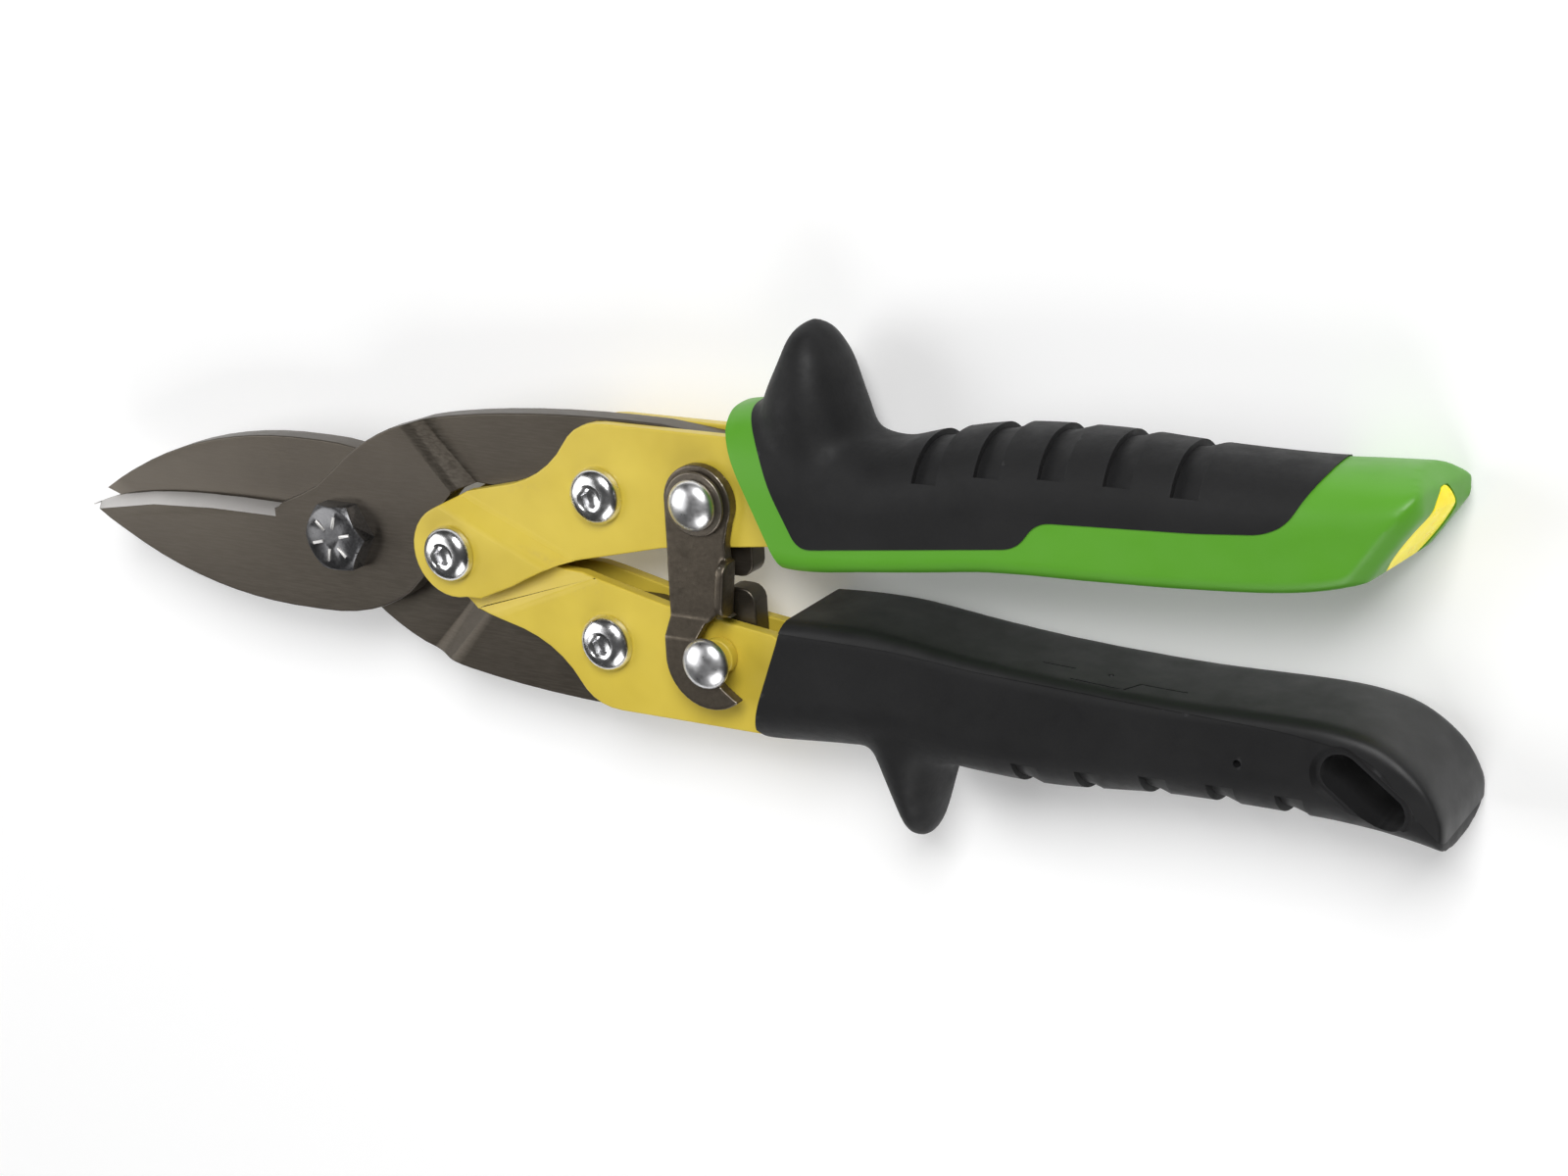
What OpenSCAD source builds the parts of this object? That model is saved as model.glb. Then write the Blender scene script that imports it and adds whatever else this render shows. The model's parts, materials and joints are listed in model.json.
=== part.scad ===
// Compound-action aviation snips, lying flat with the latch side up.
// Two joggled blades turn on the main pivot. Each blade's tail is pinned between the two plates of a
// handle, and the handles turn on a second pivot behind the first. Everything is drawn about the main
// pivot at mid-thickness, and place() then moves it to the row origin: centred, standing on z = 0.

/* [Jaws] */
// Length of a jaw, from the main pivot to its tip
jaw_len = 60; // [50:1:72]
// Depth of a jaw, from the main pivot to its back
jaw_depth = 15; // [14:0.5:18]
// Thickness of the blade steel
blade_t = 4; // [3.4:0.1:4.8]
// Width of the ground bevel behind the cutting edge
bevel_w = 1.7; // [1:0.1:2.4]
// Height of the flat land left at the cutting edge
land_h = 0.7; // [0.4:0.1:1.2]

/* [Linkage] */
// Distance from the main pivot to the handle pivot
pivot_gap = 24.8; // [23.8:0.2:26]
// Distance along the tool from the main pivot to the link pins
link_x = 54.4; // [52:0.2:58]
// Distance from the centre line to each link pin
link_y = 12.6; // [12:0.2:14]
// Latch swing for each degree of handle opening
latch_ratio = 2.08; // [1.9:0.01:2.08]

/* [Handles] */
// Thickness of a handle plate
plate_t = 2.2; // [1.8:0.1:2.7]
// Distance from the centre line to a handle plate's outer edge
plate_out = 24.6; // [24:0.2:26]
// Outer radius of the plates' pivot tabs
tab_r = 8; // [7.2:0.2:8.6]
// Length of a plate, from the main pivot to the end of its tang
tang_end = 160; // [120:1:164]

/* [Grips] */
// Thickness of the grips, which the tool lies on
grip_t = 21; // [20:0.5:25]
// Length of the upper grip, from its collar to its butt
grip_len = 108.6; // [92:0.2:130.4]
// Height of the thumb guards above the grips' outer sides
fin_h = 13.5; // [8:0.5:18]
// Width of the hanging slot
slot_w = 6; // [5:0.2:7]
// Length of the hanging slot
slot_len = 14; // [10:0.5:15]

/* [Fasteners] */
// Diameter of the main pivot bolt
bolt_d = 6.35; // [6:0.05:8]
// Width across the flats of the main bolt and nut
bolt_af = 11.3; // [11:0.1:13]
// Diameter of the link and handle pivot screws
screw_d = 5; // [4:0.5:6]
// Diameter of the screws' button heads
screw_head_d = 9.5; // [8.8:0.1:10]
// Outer diameter of the link bushes
bush_d = 6.6; // [6.4:0.1:7]
// Outer diameter of the handle pivot bush
pivot_bush_d = 8; // [7.4:0.1:8.4]
// Wire diameter of the return spring
wire_d = 1; // [0.8:0.1:1.1]

/* [Latch] */
// Thickness of the latch plate
latch_t = 2; // [1.6:0.1:2.2]
// Radius of the latch's round end
latch_r = 6.2; // [5.8:0.1:6.6]
// Outer radius of the latch's hook
hook_r = 8.1; // [7:0.1:8.4]
// Radius of the keeper's neck
neck_r = 1.2; // [1:0.1:1.4]
// Radius of the latch's and the keeper's domed heads
dome_r = 4.2; // [3.6:0.1:4.6]

/* [Hidden] */

// Clearances
run_c = 0.05;        // radial clearance of every turning fit
open_c = 0.3;        // radial clearance at the upper link, where the loop is open
face_c = 0.1;        // gap between faces that slide past each other
slip_c = 0.3;        // gap round loose pieces
over = 1;            // how far a cutting tool runs past a face
far = 20;            // how far a cutting tool runs when it goes right through

// Pivot points in the tool plane
P1 = [pivot_gap, 0];
PA = [link_x, link_y];
PB = [link_x, -link_y];
LATCH = [74.7, 13.9];
KEEP = [76.4, -11.8];

// Heights above mid-thickness
tail_top = blade_t / 2;
plate_in = tail_top + face_c;
plate_top = plate_in + plate_t;
low_step = 0.4;                              // how far the lower tabs step in
low_tab_top = plate_top - low_step;
blade_face = blade_t + face_c / 2;           // the blades' outer faces, at the jaws
tab_c = 0.15;        // gap between the upper tabs and what lies under them
up_step = max(low_tab_top, blade_face) + tab_c - plate_in;   // how far the upper tabs step out
up_tab_top = plate_top + up_step;
latch_z = plate_top + face_c;
hook_step = latch_t + face_c;
hook_z = latch_z + hook_step;
washer_t = 0.9;
washer_z = latch_z + latch_t + face_c / 2;
boss_top = hook_z - slip_c;
screw_shank_r = screw_d / 2;
head_h = 2.6;
nut_h = 3.9;
floor_z = -grip_t / 2;

// Grips: where they begin, and how they lie
grip_x = 83;
lower_grip_len = grip_len + 4.9;
butt_x = grip_x + lower_grip_len;
fin_top = 29 + fin_h;
fin_low = 24.8 + fin_h;
row_x = (butt_x - jaw_len) / 2;
row_y = (fin_top - fin_low) / 2;

module place() { translate([-row_x, -row_y, -floor_z]) children(); }

// ---- Curves ----
function curve(a, b, c, n = 8) = [for (i = [0:n]) let (t = i / n)
  a * pow(1 - t, 2) + b * 2 * t * (1 - t) + c * t * t];
function arc(c, r, a0, a1, n = 10) = [for (i = [0:n]) let (a = a0 + (a1 - a0) * i / n)
  c + r * [cos(a), sin(a)]];
function flip(points) = [for (p = points) [p[0], -p[1]]];
function turn(v, a) = [v[0] * cos(a) - v[1] * sin(a), v[0] * sin(a) + v[1] * cos(a)];

// A strip of constant thickness that drops by step between u0 and u1, seen from its side.
// It is extruded across the tool and turned so that u runs in the direction a.
module joggled_strip(z, t, step, u0, u1, a) {
  rotate([0, 0, a]) rotate([90, 0, 0]) linear_extrude(height = 400, center = true)
    polygon([[-300, z], [u0, z], [u1, z - step], [400, z - step],
      [400, z - step + t], [u1, z - step + t], [u0, z + t], [-300, z + t]]);
}

module slab(points, z0, z1) {
  translate([0, 0, z0]) linear_extrude(height = z1 - z0) polygon(points);
}

module at(p, z = 0) { translate([p[0], p[1], z]) children(); }

module bore(p, r, z0, z1) { at(p, z0) cylinder(h = z1 - z0, r = r, $fn = 64); }

module hexagon(p, af, z, h) { at(p, z) cylinder(h = h, d = af / cos(30), $fn = 6); }

// A domed head: the cap of a sphere
module dome(p, r, h, z) {
  ball = (r * r + h * h) / (2 * h);
  at(p, z) intersection() {
    translate([0, 0, h - ball]) sphere(r = ball, $fn = 96);
    cylinder(h = h, r = r, $fn = 64);
  }
}

// ---- Blades ----
edge_y = 2.9;          // how far the cutting edge stands past the centre line at mid-jaw
tip_y = -1;
relief_r = tab_r - 0.8;
shoulder_x = -15;
tail_end = 81;
joggle_a = 39;
joggle_0 = 25;
joggle_1 = 29;

function jaw_back() = concat(
  curve([-jaw_len, tip_y], [-jaw_len * 0.62, -jaw_depth - 0.8], [-9, -jaw_depth], 12),
  curve([-7, -jaw_depth], [5, -jaw_depth], [13, -9.4], 6));
function cutting_edge() = concat(
  [[shoulder_x + 1.5, edge_y + 1.4], [shoulder_x, edge_y]],
  curve([shoulder_x - 3, edge_y], [-jaw_len * 0.82, edge_y + 0.4], [-jaw_len, tip_y], 8));
function tail_inner() = concat(
  arc(P1, relief_r, 212, 128, 8),
  [[24, 9.6], [28, 11.4], [33, 11]],
  curve([36, 10], [44, 5.8], [52, 5.2], 5),
  [[62, 5.2], [72, 7.2], [75.6, 7.2]],
  arc([77.8, 3.2], 2.2, 180, 270, 4), arc([79.4, 3.4], 2.4, 270, 355, 4));
function tail_outer() = concat(
  [[tail_end + 0.8, 10], [tail_end, 23.4]],
  curve([66, plate_out + 0.3], [38, plate_out + 0.9], [18, 21.6], 8),
  curve([12, 19.8], [5, 17], [-1, 11.6], 5),
  [[-5.5, 8], [-9.5, 6]]);
function blade_outline() = concat(jaw_back(), tail_inner(), tail_outer(), cutting_edge());

// A ground face along one stretch of the cutting edge, falling away towards the land
module bevel_cut(a, b) {
  d = b - a;
  at(a) rotate([0, 0, atan2(d[1], d[0])]) rotate([90, 0, 90])
    translate([0, 0, -0.4]) linear_extrude(height = norm(d) + 0.8)
      polygon([[-bevel_w, blade_t + face_c], [0, face_c / 2 + land_h], [4, face_c / 2 + land_h],
        [4, blade_t + over], [-bevel_w, blade_t + over]]);
}

module blade_blank(bore_r) {
  edge = [for (i = [0:3]) let (t = i / 3)
    [shoulder_x - 1 + (1.5 - jaw_len - shoulder_x) * t, edge_y + 0.15 - 3.3 * pow(t, 3.2)]];
  difference() {
    intersection() {
      slab(blade_outline(), -2 * blade_t, 2 * blade_t);
      joggled_strip(face_c / 2, blade_t, tail_top + face_c / 2, joggle_0, joggle_1, joggle_a);
    }
    for (i = [0:2]) bevel_cut(edge[i + 1], edge[i]);
    bore([0, 0], bolt_d / 2 + run_c, -over, blade_t + over);
    bore(PA, bore_r, -blade_t, blade_t);
  }
}

module front_blade() color([0.30, 0.27, 0.23])
  place() blade_blank(bush_d / 2 + open_c);
module rear_blade() color([0.27, 0.25, 0.22])
  place() rotate([180, 0, 0]) blade_blank(bush_d / 2 + run_c);

// ---- Main pivot ----
bolt_head_h = 3.8;
bolt_nut_h = 4.6;
bolt_tail = 1.1;
mark_w = 0.5;          // width of the raised marks on the bolt head
mark_h = 0.2;          // how far they stand up

module chamfered_hexagon(p, af, z, h, up) {
  r = af / 2;
  at(p, z) intersection() {
    cylinder(h = h, d = af / cos(30), $fn = 6);
    translate([0, 0, up ? h - 2 * r : 0])
      cylinder(h = 2 * r, r1 = up ? 3.4 * r : 0.94 * r, r2 = up ? 0.94 * r : 3.4 * r, $fn = 64);
  }
}

module pivot_bolt() color([0.34, 0.34, 0.35]) place() {
  chamfered_hexagon([0, 0], bolt_af, blade_face, bolt_head_h, true);
  at([0, 0], -blade_face - bolt_nut_h - bolt_tail)
    cylinder(h = 2 * blade_face + bolt_nut_h + bolt_tail + 0.2, d = bolt_d, $fn = 64);
  for (a = [15:60:315]) at([0, 0], blade_face + bolt_head_h - mark_h) rotate([0, 0, a])
    translate([bolt_af * 0.17, -mark_w / 2, 0]) cube([bolt_af * 0.2, mark_w, 2 * mark_h]);
}

module pivot_nut() color([0.34, 0.34, 0.35]) place() difference() {
  chamfered_hexagon([0, 0], bolt_af, -blade_face - bolt_nut_h, bolt_nut_h, false);
  bore([0, 0], bolt_d / 2, -blade_face - bolt_nut_h - over, -blade_face + over);
}

// ---- Handle plates ----
// The upper handle's outline; the lower handle's is its mirror image
crease_a = 67;
crease_0 = 16.4;
crease_1 = 19.8;
low_crease_0 = 19.6;
low_crease_1 = 22.6;
function plate_outline() = concat(
  arc(P1, tab_r, 118, 286, 16),
  [P1 + [5.4, -7.6]],
  curve([37, -4.6], [44, -0.6], [48, 0.5], 4), plate_rear());
// The stretch that both handles' outlines share
function plate_rear() = concat(
  [[66, 4.8], [86, 7.3], [95, tang_in], [tang_end, tang_in], [tang_end, tang_out], [100, tang_out],
    [90, 24], [84, plate_out]],
  curve([56, plate_out], [51.5, plate_out], [49, 21.8], 4),
  curve([46.6, 18.6], [42, 13.4], [34, 12], 5),
  [[27.5, 10.4]]);

tang_in = 12.8;        // the tangs' inner edge
tang_out = 20.6;       // the tangs' outer edge
tang_y = (tang_in + tang_out) / 2;
rivet_r = 2;
tang_rivets_x = [104, tang_end - 12];
module tang_holes() {
  for (x = tang_rivets_x) bore([x, tang_y], rivet_r, -far, far);
}

module upper_plate() {
  difference() {
    intersection() {
      slab(plate_outline(), 0, far);
      joggled_strip(plate_in + up_step, plate_t, up_step, crease_0, crease_1, crease_a);
    }
    bore(P1, pivot_bush_d / 2 + run_c, 0, far);
    bore(PA, screw_shank_r + run_c, 0, far);
    tang_holes();
  }
}

module lower_plate() {
  difference() {
    intersection() {
      slab(flip(lower_outline()), 0, far);
      joggled_strip(plate_in - low_step, plate_t, -low_step, low_crease_0, low_crease_1, -crease_a);
    }
    bore(P1, pivot_bush_d / 2 + run_c, 0, far);
    bore(PB, screw_shank_r + run_c, 0, far);
    mirror([0, 1, 0]) tang_holes();
  }
}
// The lower tabs are smaller, so that the blades' shoulders clear them
function lower_outline() = concat(
  arc(P1, relief_r - 0.9, 118, 292, 16),
  [[34, -2.2], [40.5, 0.2], [46, 1.1], [50, 1.2]], plate_rear());

module upper_front_plate() color([0.84, 0.77, 0.31]) place() difference() {
  upper_plate();
  bore(LATCH, rivet_shank_r + run_c, 0, far);
}
module upper_rear_plate() color([0.84, 0.77, 0.31]) place() mirror([0, 0, 1]) upper_plate();
module lower_front_plate() color([0.84, 0.77, 0.31]) place() difference() {
  lower_plate();
  bore(KEEP, neck_r + run_c, 0, far);
}
module lower_rear_plate() color([0.84, 0.77, 0.31]) place() mirror([0, 0, 1]) lower_plate();

// ---- Screws, nuts and bushes ----
module button_screw(p, seat, end_z) {
  socket_af = 0.6 * screw_d;
  difference() {
    union() {
      intersection() {
        dome(p, screw_head_d / 2, head_h + 0.35, seat);
        at(p, seat) cylinder(h = head_h, d = screw_head_d, $fn = 64);
      }
      at(p, end_z) cylinder(h = seat - end_z + 0.1, r = screw_shank_r, $fn = 64);
    }
    hexagon(p, socket_af, seat + head_h - 1.8, 3);
  }
}
module lock_nut(p, z) difference() {
  chamfered_hexagon(p, 1.6 * screw_d, z - nut_h, nut_h, false);
  bore(p, screw_shank_r, z - nut_h - over, z + over);
}
module bush(p, r, z0, z1) difference() {
  at(p, z0) cylinder(h = z1 - z0, r = r, $fn = 64);
  bore(p, screw_shank_r + run_c, z0 - over, z1 + over);
}

module handle_pivot_screw() color([0.75, 0.75, 0.76])
  place() button_screw(P1, up_tab_top + run_c, -up_tab_top - nut_h);
module handle_pivot_nut() color([0.6, 0.6, 0.62]) place() lock_nut(P1, -up_tab_top - run_c);
module handle_pivot_bush() color([0.6, 0.6, 0.62])
  place() bush(P1, pivot_bush_d / 2, -up_tab_top - run_c, up_tab_top + run_c);
module upper_link_screw() color([0.75, 0.75, 0.76])
  place() button_screw(PA, plate_top, -plate_top - nut_h);
module upper_link_nut() color([0.6, 0.6, 0.62]) place() lock_nut(PA, -plate_top);
module upper_link_bush() color([0.6, 0.6, 0.62]) place() bush(PA, bush_d / 2, -plate_in, plate_in);
module lower_link_screw() color([0.75, 0.75, 0.76])
  place() button_screw(PB, plate_top, -plate_top - nut_h);
module lower_link_nut() color([0.6, 0.6, 0.62]) place() lock_nut(PB, -plate_top);
module lower_link_bush() color([0.6, 0.6, 0.62]) place() bush(PB, bush_d / 2, -plate_in, plate_in);

// ---- Return spring ----
// A torsion spring: two turns round the handle pivot bush, and a leg along each blade's tail
coil_r = pivot_bush_d / 2 + wire_d / 2 + 0.35;
coil_turns = 2;
coil_rise = (wire_d + 0.1) * coil_turns;
leg_a = 6;
leg_len = 17.2;
function coil_point(t) = let (a = 90 + leg_a - t * (360 * coil_turns + 180 + 2 * leg_a))
  [P1[0] + coil_r * cos(a), P1[1] + coil_r * sin(a), coil_rise * (t - 0.5)];
function leg_point(side) = let (a = side * (90 + leg_a))
  [P1[0] + coil_r * cos(a) + leg_len * cos(side * leg_a),
    P1[1] + coil_r * sin(a) + leg_len * sin(side * leg_a), -side * coil_rise / 2];
spring_path = concat([leg_point(1)], [for (i = [0:44]) coil_point(i / 44)], [leg_point(-1)]);

function unit(v) = v / norm(v);
function path_dir(p, i) = unit(p[min(i + 1, len(p) - 1)] - p[max(i - 1, 0)]);
module wire(p, d, sides = 8) {
  rings = [for (i = [0:len(p) - 1]) let (t = path_dir(p, i), u = unit(cross([0, 0, 1], t)),
    v = cross(t, u)) for (k = [0:sides - 1]) let (a = 360 * k / sides)
      p[i] + d / 2 * (u * cos(a) + v * sin(a))];
  n = len(p);
  polyhedron(rings, concat(
    [[for (k = [sides - 1:-1:0]) k]],
    [for (i = [0:n - 2]) for (k = [0:sides - 1]) let (j = (k + 1) % sides)
      [i * sides + k, i * sides + j, (i + 1) * sides + j, (i + 1) * sides + k]],
    [[for (k = [0:sides - 1]) (n - 1) * sides + k]]), convexity = 6);
}
module return_spring() color([0.5, 0.5, 0.52]) place() wire(spring_path, wire_d);

// ---- Latch ----
rivet_shank_r = 2.5;
dome_h = 2.6;
throat_r = neck_r + slip_c;
keeper_free = 10;      // the handle opening, in degrees, at which the keeper has left the hook
flange_t = 1.5;        // thickness of the thumb flange
flange_w = 8.6;        // width of the thumb flange
flange_h = 2.2;        // how far the thumb flange stands above the latch plate
head_gap = 0.2;        // gap between the hook and the keeper's head
// Where the keeper stands in the latch's own frame when the handles are open by a
function keeper_seen(a) = LATCH + turn(P1 + turn(KEEP - P1, -a) - LATCH, latch_ratio * a);

module latch_outline() {
  difference() {
    union() {
      translate(LATCH) circle(r = latch_r, $fn = 64);
      translate(KEEP) circle(r = hook_r, $fn = 64);
      polygon([LATCH + [-latch_r, 0], KEEP + [-hook_r, 0], KEEP + [0, hook_r - 2.6],
        [77.9, -5.9], [78.6, -4.6], [79.6, 4.4], [79.4, 7.6], LATCH + [latch_r, 0]]);
    }
    // mouth, open towards the butts
    polygon([KEEP + [-1.6, 0], KEEP + [-2.2, 3.2], KEEP + [-1.2, 5.9], KEEP + [14, 5.9],
      KEEP + [14, -7], KEEP + [5, -3.4], KEEP + [1.2, -1.1]]);
    for (a = [0:0.5:keeper_free]) translate(keeper_seen(a)) circle(r = throat_r, $fn = 32);
  }
}

module latch_plate() color([0.33, 0.30, 0.26]) place() difference() {
  union() {
    intersection() {
      translate([0, 0, latch_z - over]) linear_extrude(height = far) latch_outline();
      joggled_strip(latch_z, latch_t, -hook_step, 5.4, 8.4, -90);
    }
    // thumb flange, turned up along the free edge
    translate([79.4, 0, latch_z]) rotate([0, 0, -6.3]) translate([-flange_t, -4, 0])
      cube([flange_t, flange_w, latch_t + flange_h]);
  }
  bore(LATCH, rivet_shank_r + run_c, 0, far);
}
module latch_washer() color([0.45, 0.43, 0.40]) place() difference() {
  at(LATCH, washer_z) cylinder(h = washer_t, r = dome_r + 1.1, $fn = 64);
  bore(LATCH, rivet_shank_r, 0, far);
}
module latch_rivet() color([0.75, 0.75, 0.76]) place() {
  dome(LATCH, dome_r, dome_h, washer_z + washer_t);
  at(LATCH, plate_in) cylinder(h = washer_z + washer_t - plate_in + 0.1, r = rivet_shank_r, $fn = 64);
}
module keeper_spacer() color([0.84, 0.77, 0.31]) place() difference() {
  at(KEEP, plate_top) cylinder(h = boss_top - plate_top, r = dome_r - 1.1, $fn = 64);
  bore(KEEP, neck_r, 0, far);
}
module keeper_rivet() color([0.75, 0.75, 0.76]) place() {
  under = hook_z + latch_t + head_gap;
  dome(KEEP, dome_r, dome_h, under);
  at(KEEP, plate_in) cylinder(h = under - plate_in + 0.1, r = neck_r, $fn = 64);
}

// ---- Tang spacers and rivets, inside the grips ----
module tang_spacers() for (x = tang_rivets_x) difference() {
  at([x, tang_y], -plate_in) cylinder(h = 2 * plate_in, r = rivet_r + 1.5, $fn = 64);
  bore([x, tang_y], rivet_r, -far, far);
}
module tang_rivets() for (x = tang_rivets_x)
  at([x, tang_y], -plate_top) cylinder(h = 2 * plate_top, r = rivet_r, $fn = 64);
module upper_tang_spacers() color([0.5, 0.5, 0.52]) place() tang_spacers();
module upper_tang_rivets() color([0.6, 0.6, 0.62]) place() tang_rivets();
module lower_tang_spacers() color([0.5, 0.5, 0.52]) place() mirror([0, 1, 0]) tang_spacers();
module lower_tang_rivets() color([0.6, 0.6, 0.62]) place() mirror([0, 1, 0]) tang_rivets();

// ---- Grips ----
// Stations: place along the grip as a share of its length, inner edge and outer edge
UPPER_STATIONS = [[0.0, 7.4, 28.2], [0.1, 5.6, 28.6], [0.22, 6.9, 25.8], [0.3, 7.9, 27.6],
  [0.41, 9.3, 29.3], [0.56, 9.9, 29.6], [0.7, 10.6, 28.5], [0.84, 12, 28],
  [0.925, 14.6, 28.1], [1.0, 26, 28]];
LOWER_STATIONS = [[0.0, -9, -25.6], [0.14, -2.4, -24.6], [0.22, -2.6, -24.2], [0.35, -4.3, -25.2],
  [0.48, -5.6, -25.4], [0.66, -6.5, -23.4], [0.86, -6.4, -23.4],
  [0.97, -8.6, -24.2], [1.02, -12.5, -25], [1.045, -19, -24.4]];
section_r = 6.5;       // corner radius of the grips' sections

function section(w, h, r) = [for (c = [[1, 1, 0], [-1, 1, 90], [-1, -1, 180], [1, -1, 270]])
  for (k = [0:4]) let (a = c[2] + k * 22.5)
    [c[0] * (w / 2 - r) + r * cos(a), c[1] * (h / 2 - r) + r * sin(a)]];

// One ring of the grip's skin, square to the tool's length
function grip_ring(s) = let (w = abs(s[2] - s[1]), r = min(section_r, w / 2 - 0.1))
  [for (q = section(w, grip_t, r)) [grip_x + s[0] * grip_len, (s[1] + s[2]) / 2 + q[0], q[1]]];
RING_N = 20;
module grip_body(stations) {
  n = len(stations);
  polyhedron([for (s = stations) each grip_ring(s)], concat(
    [[for (k = [0:RING_N - 1]) k]],
    [for (i = [0:n - 2]) for (k = [0:RING_N - 1])
      let (j = (k + 1) % RING_N, lo = i * RING_N, hi = lo + RING_N)
        each [[lo + k, hi + k, hi + j], [lo + k, hi + j, lo + j]]],
    [[for (k = [RING_N - 1:-1:0]) (n - 1) * RING_N + k]]), convexity = 6);
}
// A thumb guard: a rounded fin from a broad foot to a narrow crest
module fin(x, foot, crest, side) {
  hull() {
    for (dx = [-5.5, 5.5]) translate([x + dx, side * foot, 0]) sphere(r = 6.4, $fn = 20);
    translate([x + 0.6, side * (crest - 3.6), 0]) scale([0.8, 1, 1.5]) sphere(r = 3.6, $fn = 20);
  }
}

// The tang's pocket in the grip
module tang_pocket() slab(plate_outline(), -plate_top, plate_top);

function front_line() = [[grip_x - 1, 40], [grip_x, 27.6], [90.4, 6], [90.8, 0]];
function collar_line() = [[87.6, 40], [87.8, 27], [89, 21], [94.6, 10.2]];
function strip_line() = [[133, 13.6], [136.5, 18.4], [grip_x + 0.8 * grip_len, 21],
  [grip_x + 0.86 * grip_len, 24], [grip_x + 0.915 * grip_len, 40]];

module upper_grip_shape() {
  difference() {
    union() { grip_body(UPPER_STATIONS); fin(96, 23.5, fin_top, 1); }
    slab(concat(front_line(), [[60, 0], [60, 40]]), -far, far);
    tang_pocket();
  }
}
module soft_zone() slab(concat(collar_line(), strip_line(), [[grip_x + 40, 60], [90, 60]]), -far, far);

// The lens-shaped inlay in the slanted butt
inlay_at = [grip_x + 0.965 * grip_len, 20.4];
butt_a = -34.5;        // the way the butt faces
inlay_depth = 1.5;
lens_r = 9.4;          // radius of the two arcs that bound the inlay
lens_gap = 5.6;        // how far each arc's centre stands from the inlay's middle
module inlay(depth, grow) {
  translate([inlay_at[0], inlay_at[1], 0]) rotate([0, 0, butt_a]) rotate([0, 90, 0])
    translate([0, 0, -depth]) intersection() {
      translate([lens_gap, 0, 0]) cylinder(h = depth + 6, r = lens_r + grow, $fn = 64);
      translate([-lens_gap, 0, 0]) cylinder(h = depth + 6, r = lens_r + grow, $fn = 64);
    }
}
module butt_plane(back) translate([inlay_at[0], inlay_at[1], 0]) rotate([0, 0, butt_a])
  translate([back, -30, -far]) cube([30, 60, 2 * far]);

module upper_grip_base() color([0.39, 0.65, 0.20]) place() difference() {
  upper_grip_shape();
  soft_zone();
  inlay(inlay_depth, 0);
  butt_plane(1.2);
}
module upper_grip_overmold() color([0.12, 0.12, 0.13]) place() intersection() {
  upper_grip_shape();
  soft_zone();
}
module upper_grip_insert() color([0.93, 0.86, 0.16]) place() difference() {
  inlay(inlay_depth, -0.02);
  butt_plane(1.0);
}

slot_at = [grip_x + 0.934 * grip_len, -15.9];
module hanging_slot() at(slot_at) rotate([0, 0, -38]) {
  for (s = [-1, 1]) translate([s * (slot_len - slot_w) / 2, 0, 0])
    cylinder(h = 60, d = slot_w, center = true, $fn = 48);
  cube([slot_len - slot_w, slot_w, 60], center = true);
}
function lower_strip() = [[60, -6], [grip_x + 9, -6.2], [grip_x + 20, -6.4],
  [grip_x + 0.4 * grip_len, -8.2], [grip_x + 0.7 * grip_len, -9.6], [grip_x + 0.84 * grip_len, -9.6],
  [grip_x + 0.87 * grip_len, -12], [grip_x + 0.82 * grip_len, -60], [60, -60]];

module lower_grip_shape() {
  difference() {
    union() { grip_body(LOWER_STATIONS); fin(109.5, 18.5, fin_low, -1); }
    slab([[95, 4], [90.4, -6.4], [84.4, -22.4], [85.6, -27], [60, -60], [60, 4]], -far, far);
    mirror([0, 1, 0]) tang_pocket();
    hanging_slot();
  }
}
module lower_grip_base() color([0.10, 0.10, 0.11]) place() difference() {
  lower_grip_shape();
  slab(lower_strip(), -far, far);
}
module lower_grip_overmold() color([0.13, 0.13, 0.14]) place() intersection() {
  lower_grip_shape();
  slab(lower_strip(), -far, far);
}

front_blade();
rear_blade();
pivot_bolt();
pivot_nut();
upper_front_plate();
upper_rear_plate();
lower_front_plate();
lower_rear_plate();
handle_pivot_screw();
handle_pivot_nut();
handle_pivot_bush();
return_spring();
upper_link_screw();
upper_link_nut();
upper_link_bush();
lower_link_screw();
lower_link_nut();
lower_link_bush();
latch_plate();
latch_rivet();
latch_washer();
keeper_rivet();
keeper_spacer();
upper_tang_spacers();
upper_tang_rivets();
lower_tang_spacers();
lower_tang_rivets();
upper_grip_base();
upper_grip_overmold();
upper_grip_insert();
lower_grip_base();
lower_grip_overmold();
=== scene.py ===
"""The looks of a pair of compound-action aviation snips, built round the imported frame.

Every place is measured in millimetres from the main pivot, which the frame's joints give, with x towards
the butts, y towards the green handle and z towards the latch side. Layout turns such a place into metres.
BENDS and RIMS are the angles, in degrees, at which a plate's faces meet along a bend and along its rim.
"""

import json
import logging
import math
from dataclasses import dataclass
from enum import Enum
from typing import Any, Callable, Sequence

import bmesh
import bpy
from mathutils import Euler, Matrix, Vector

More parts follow.
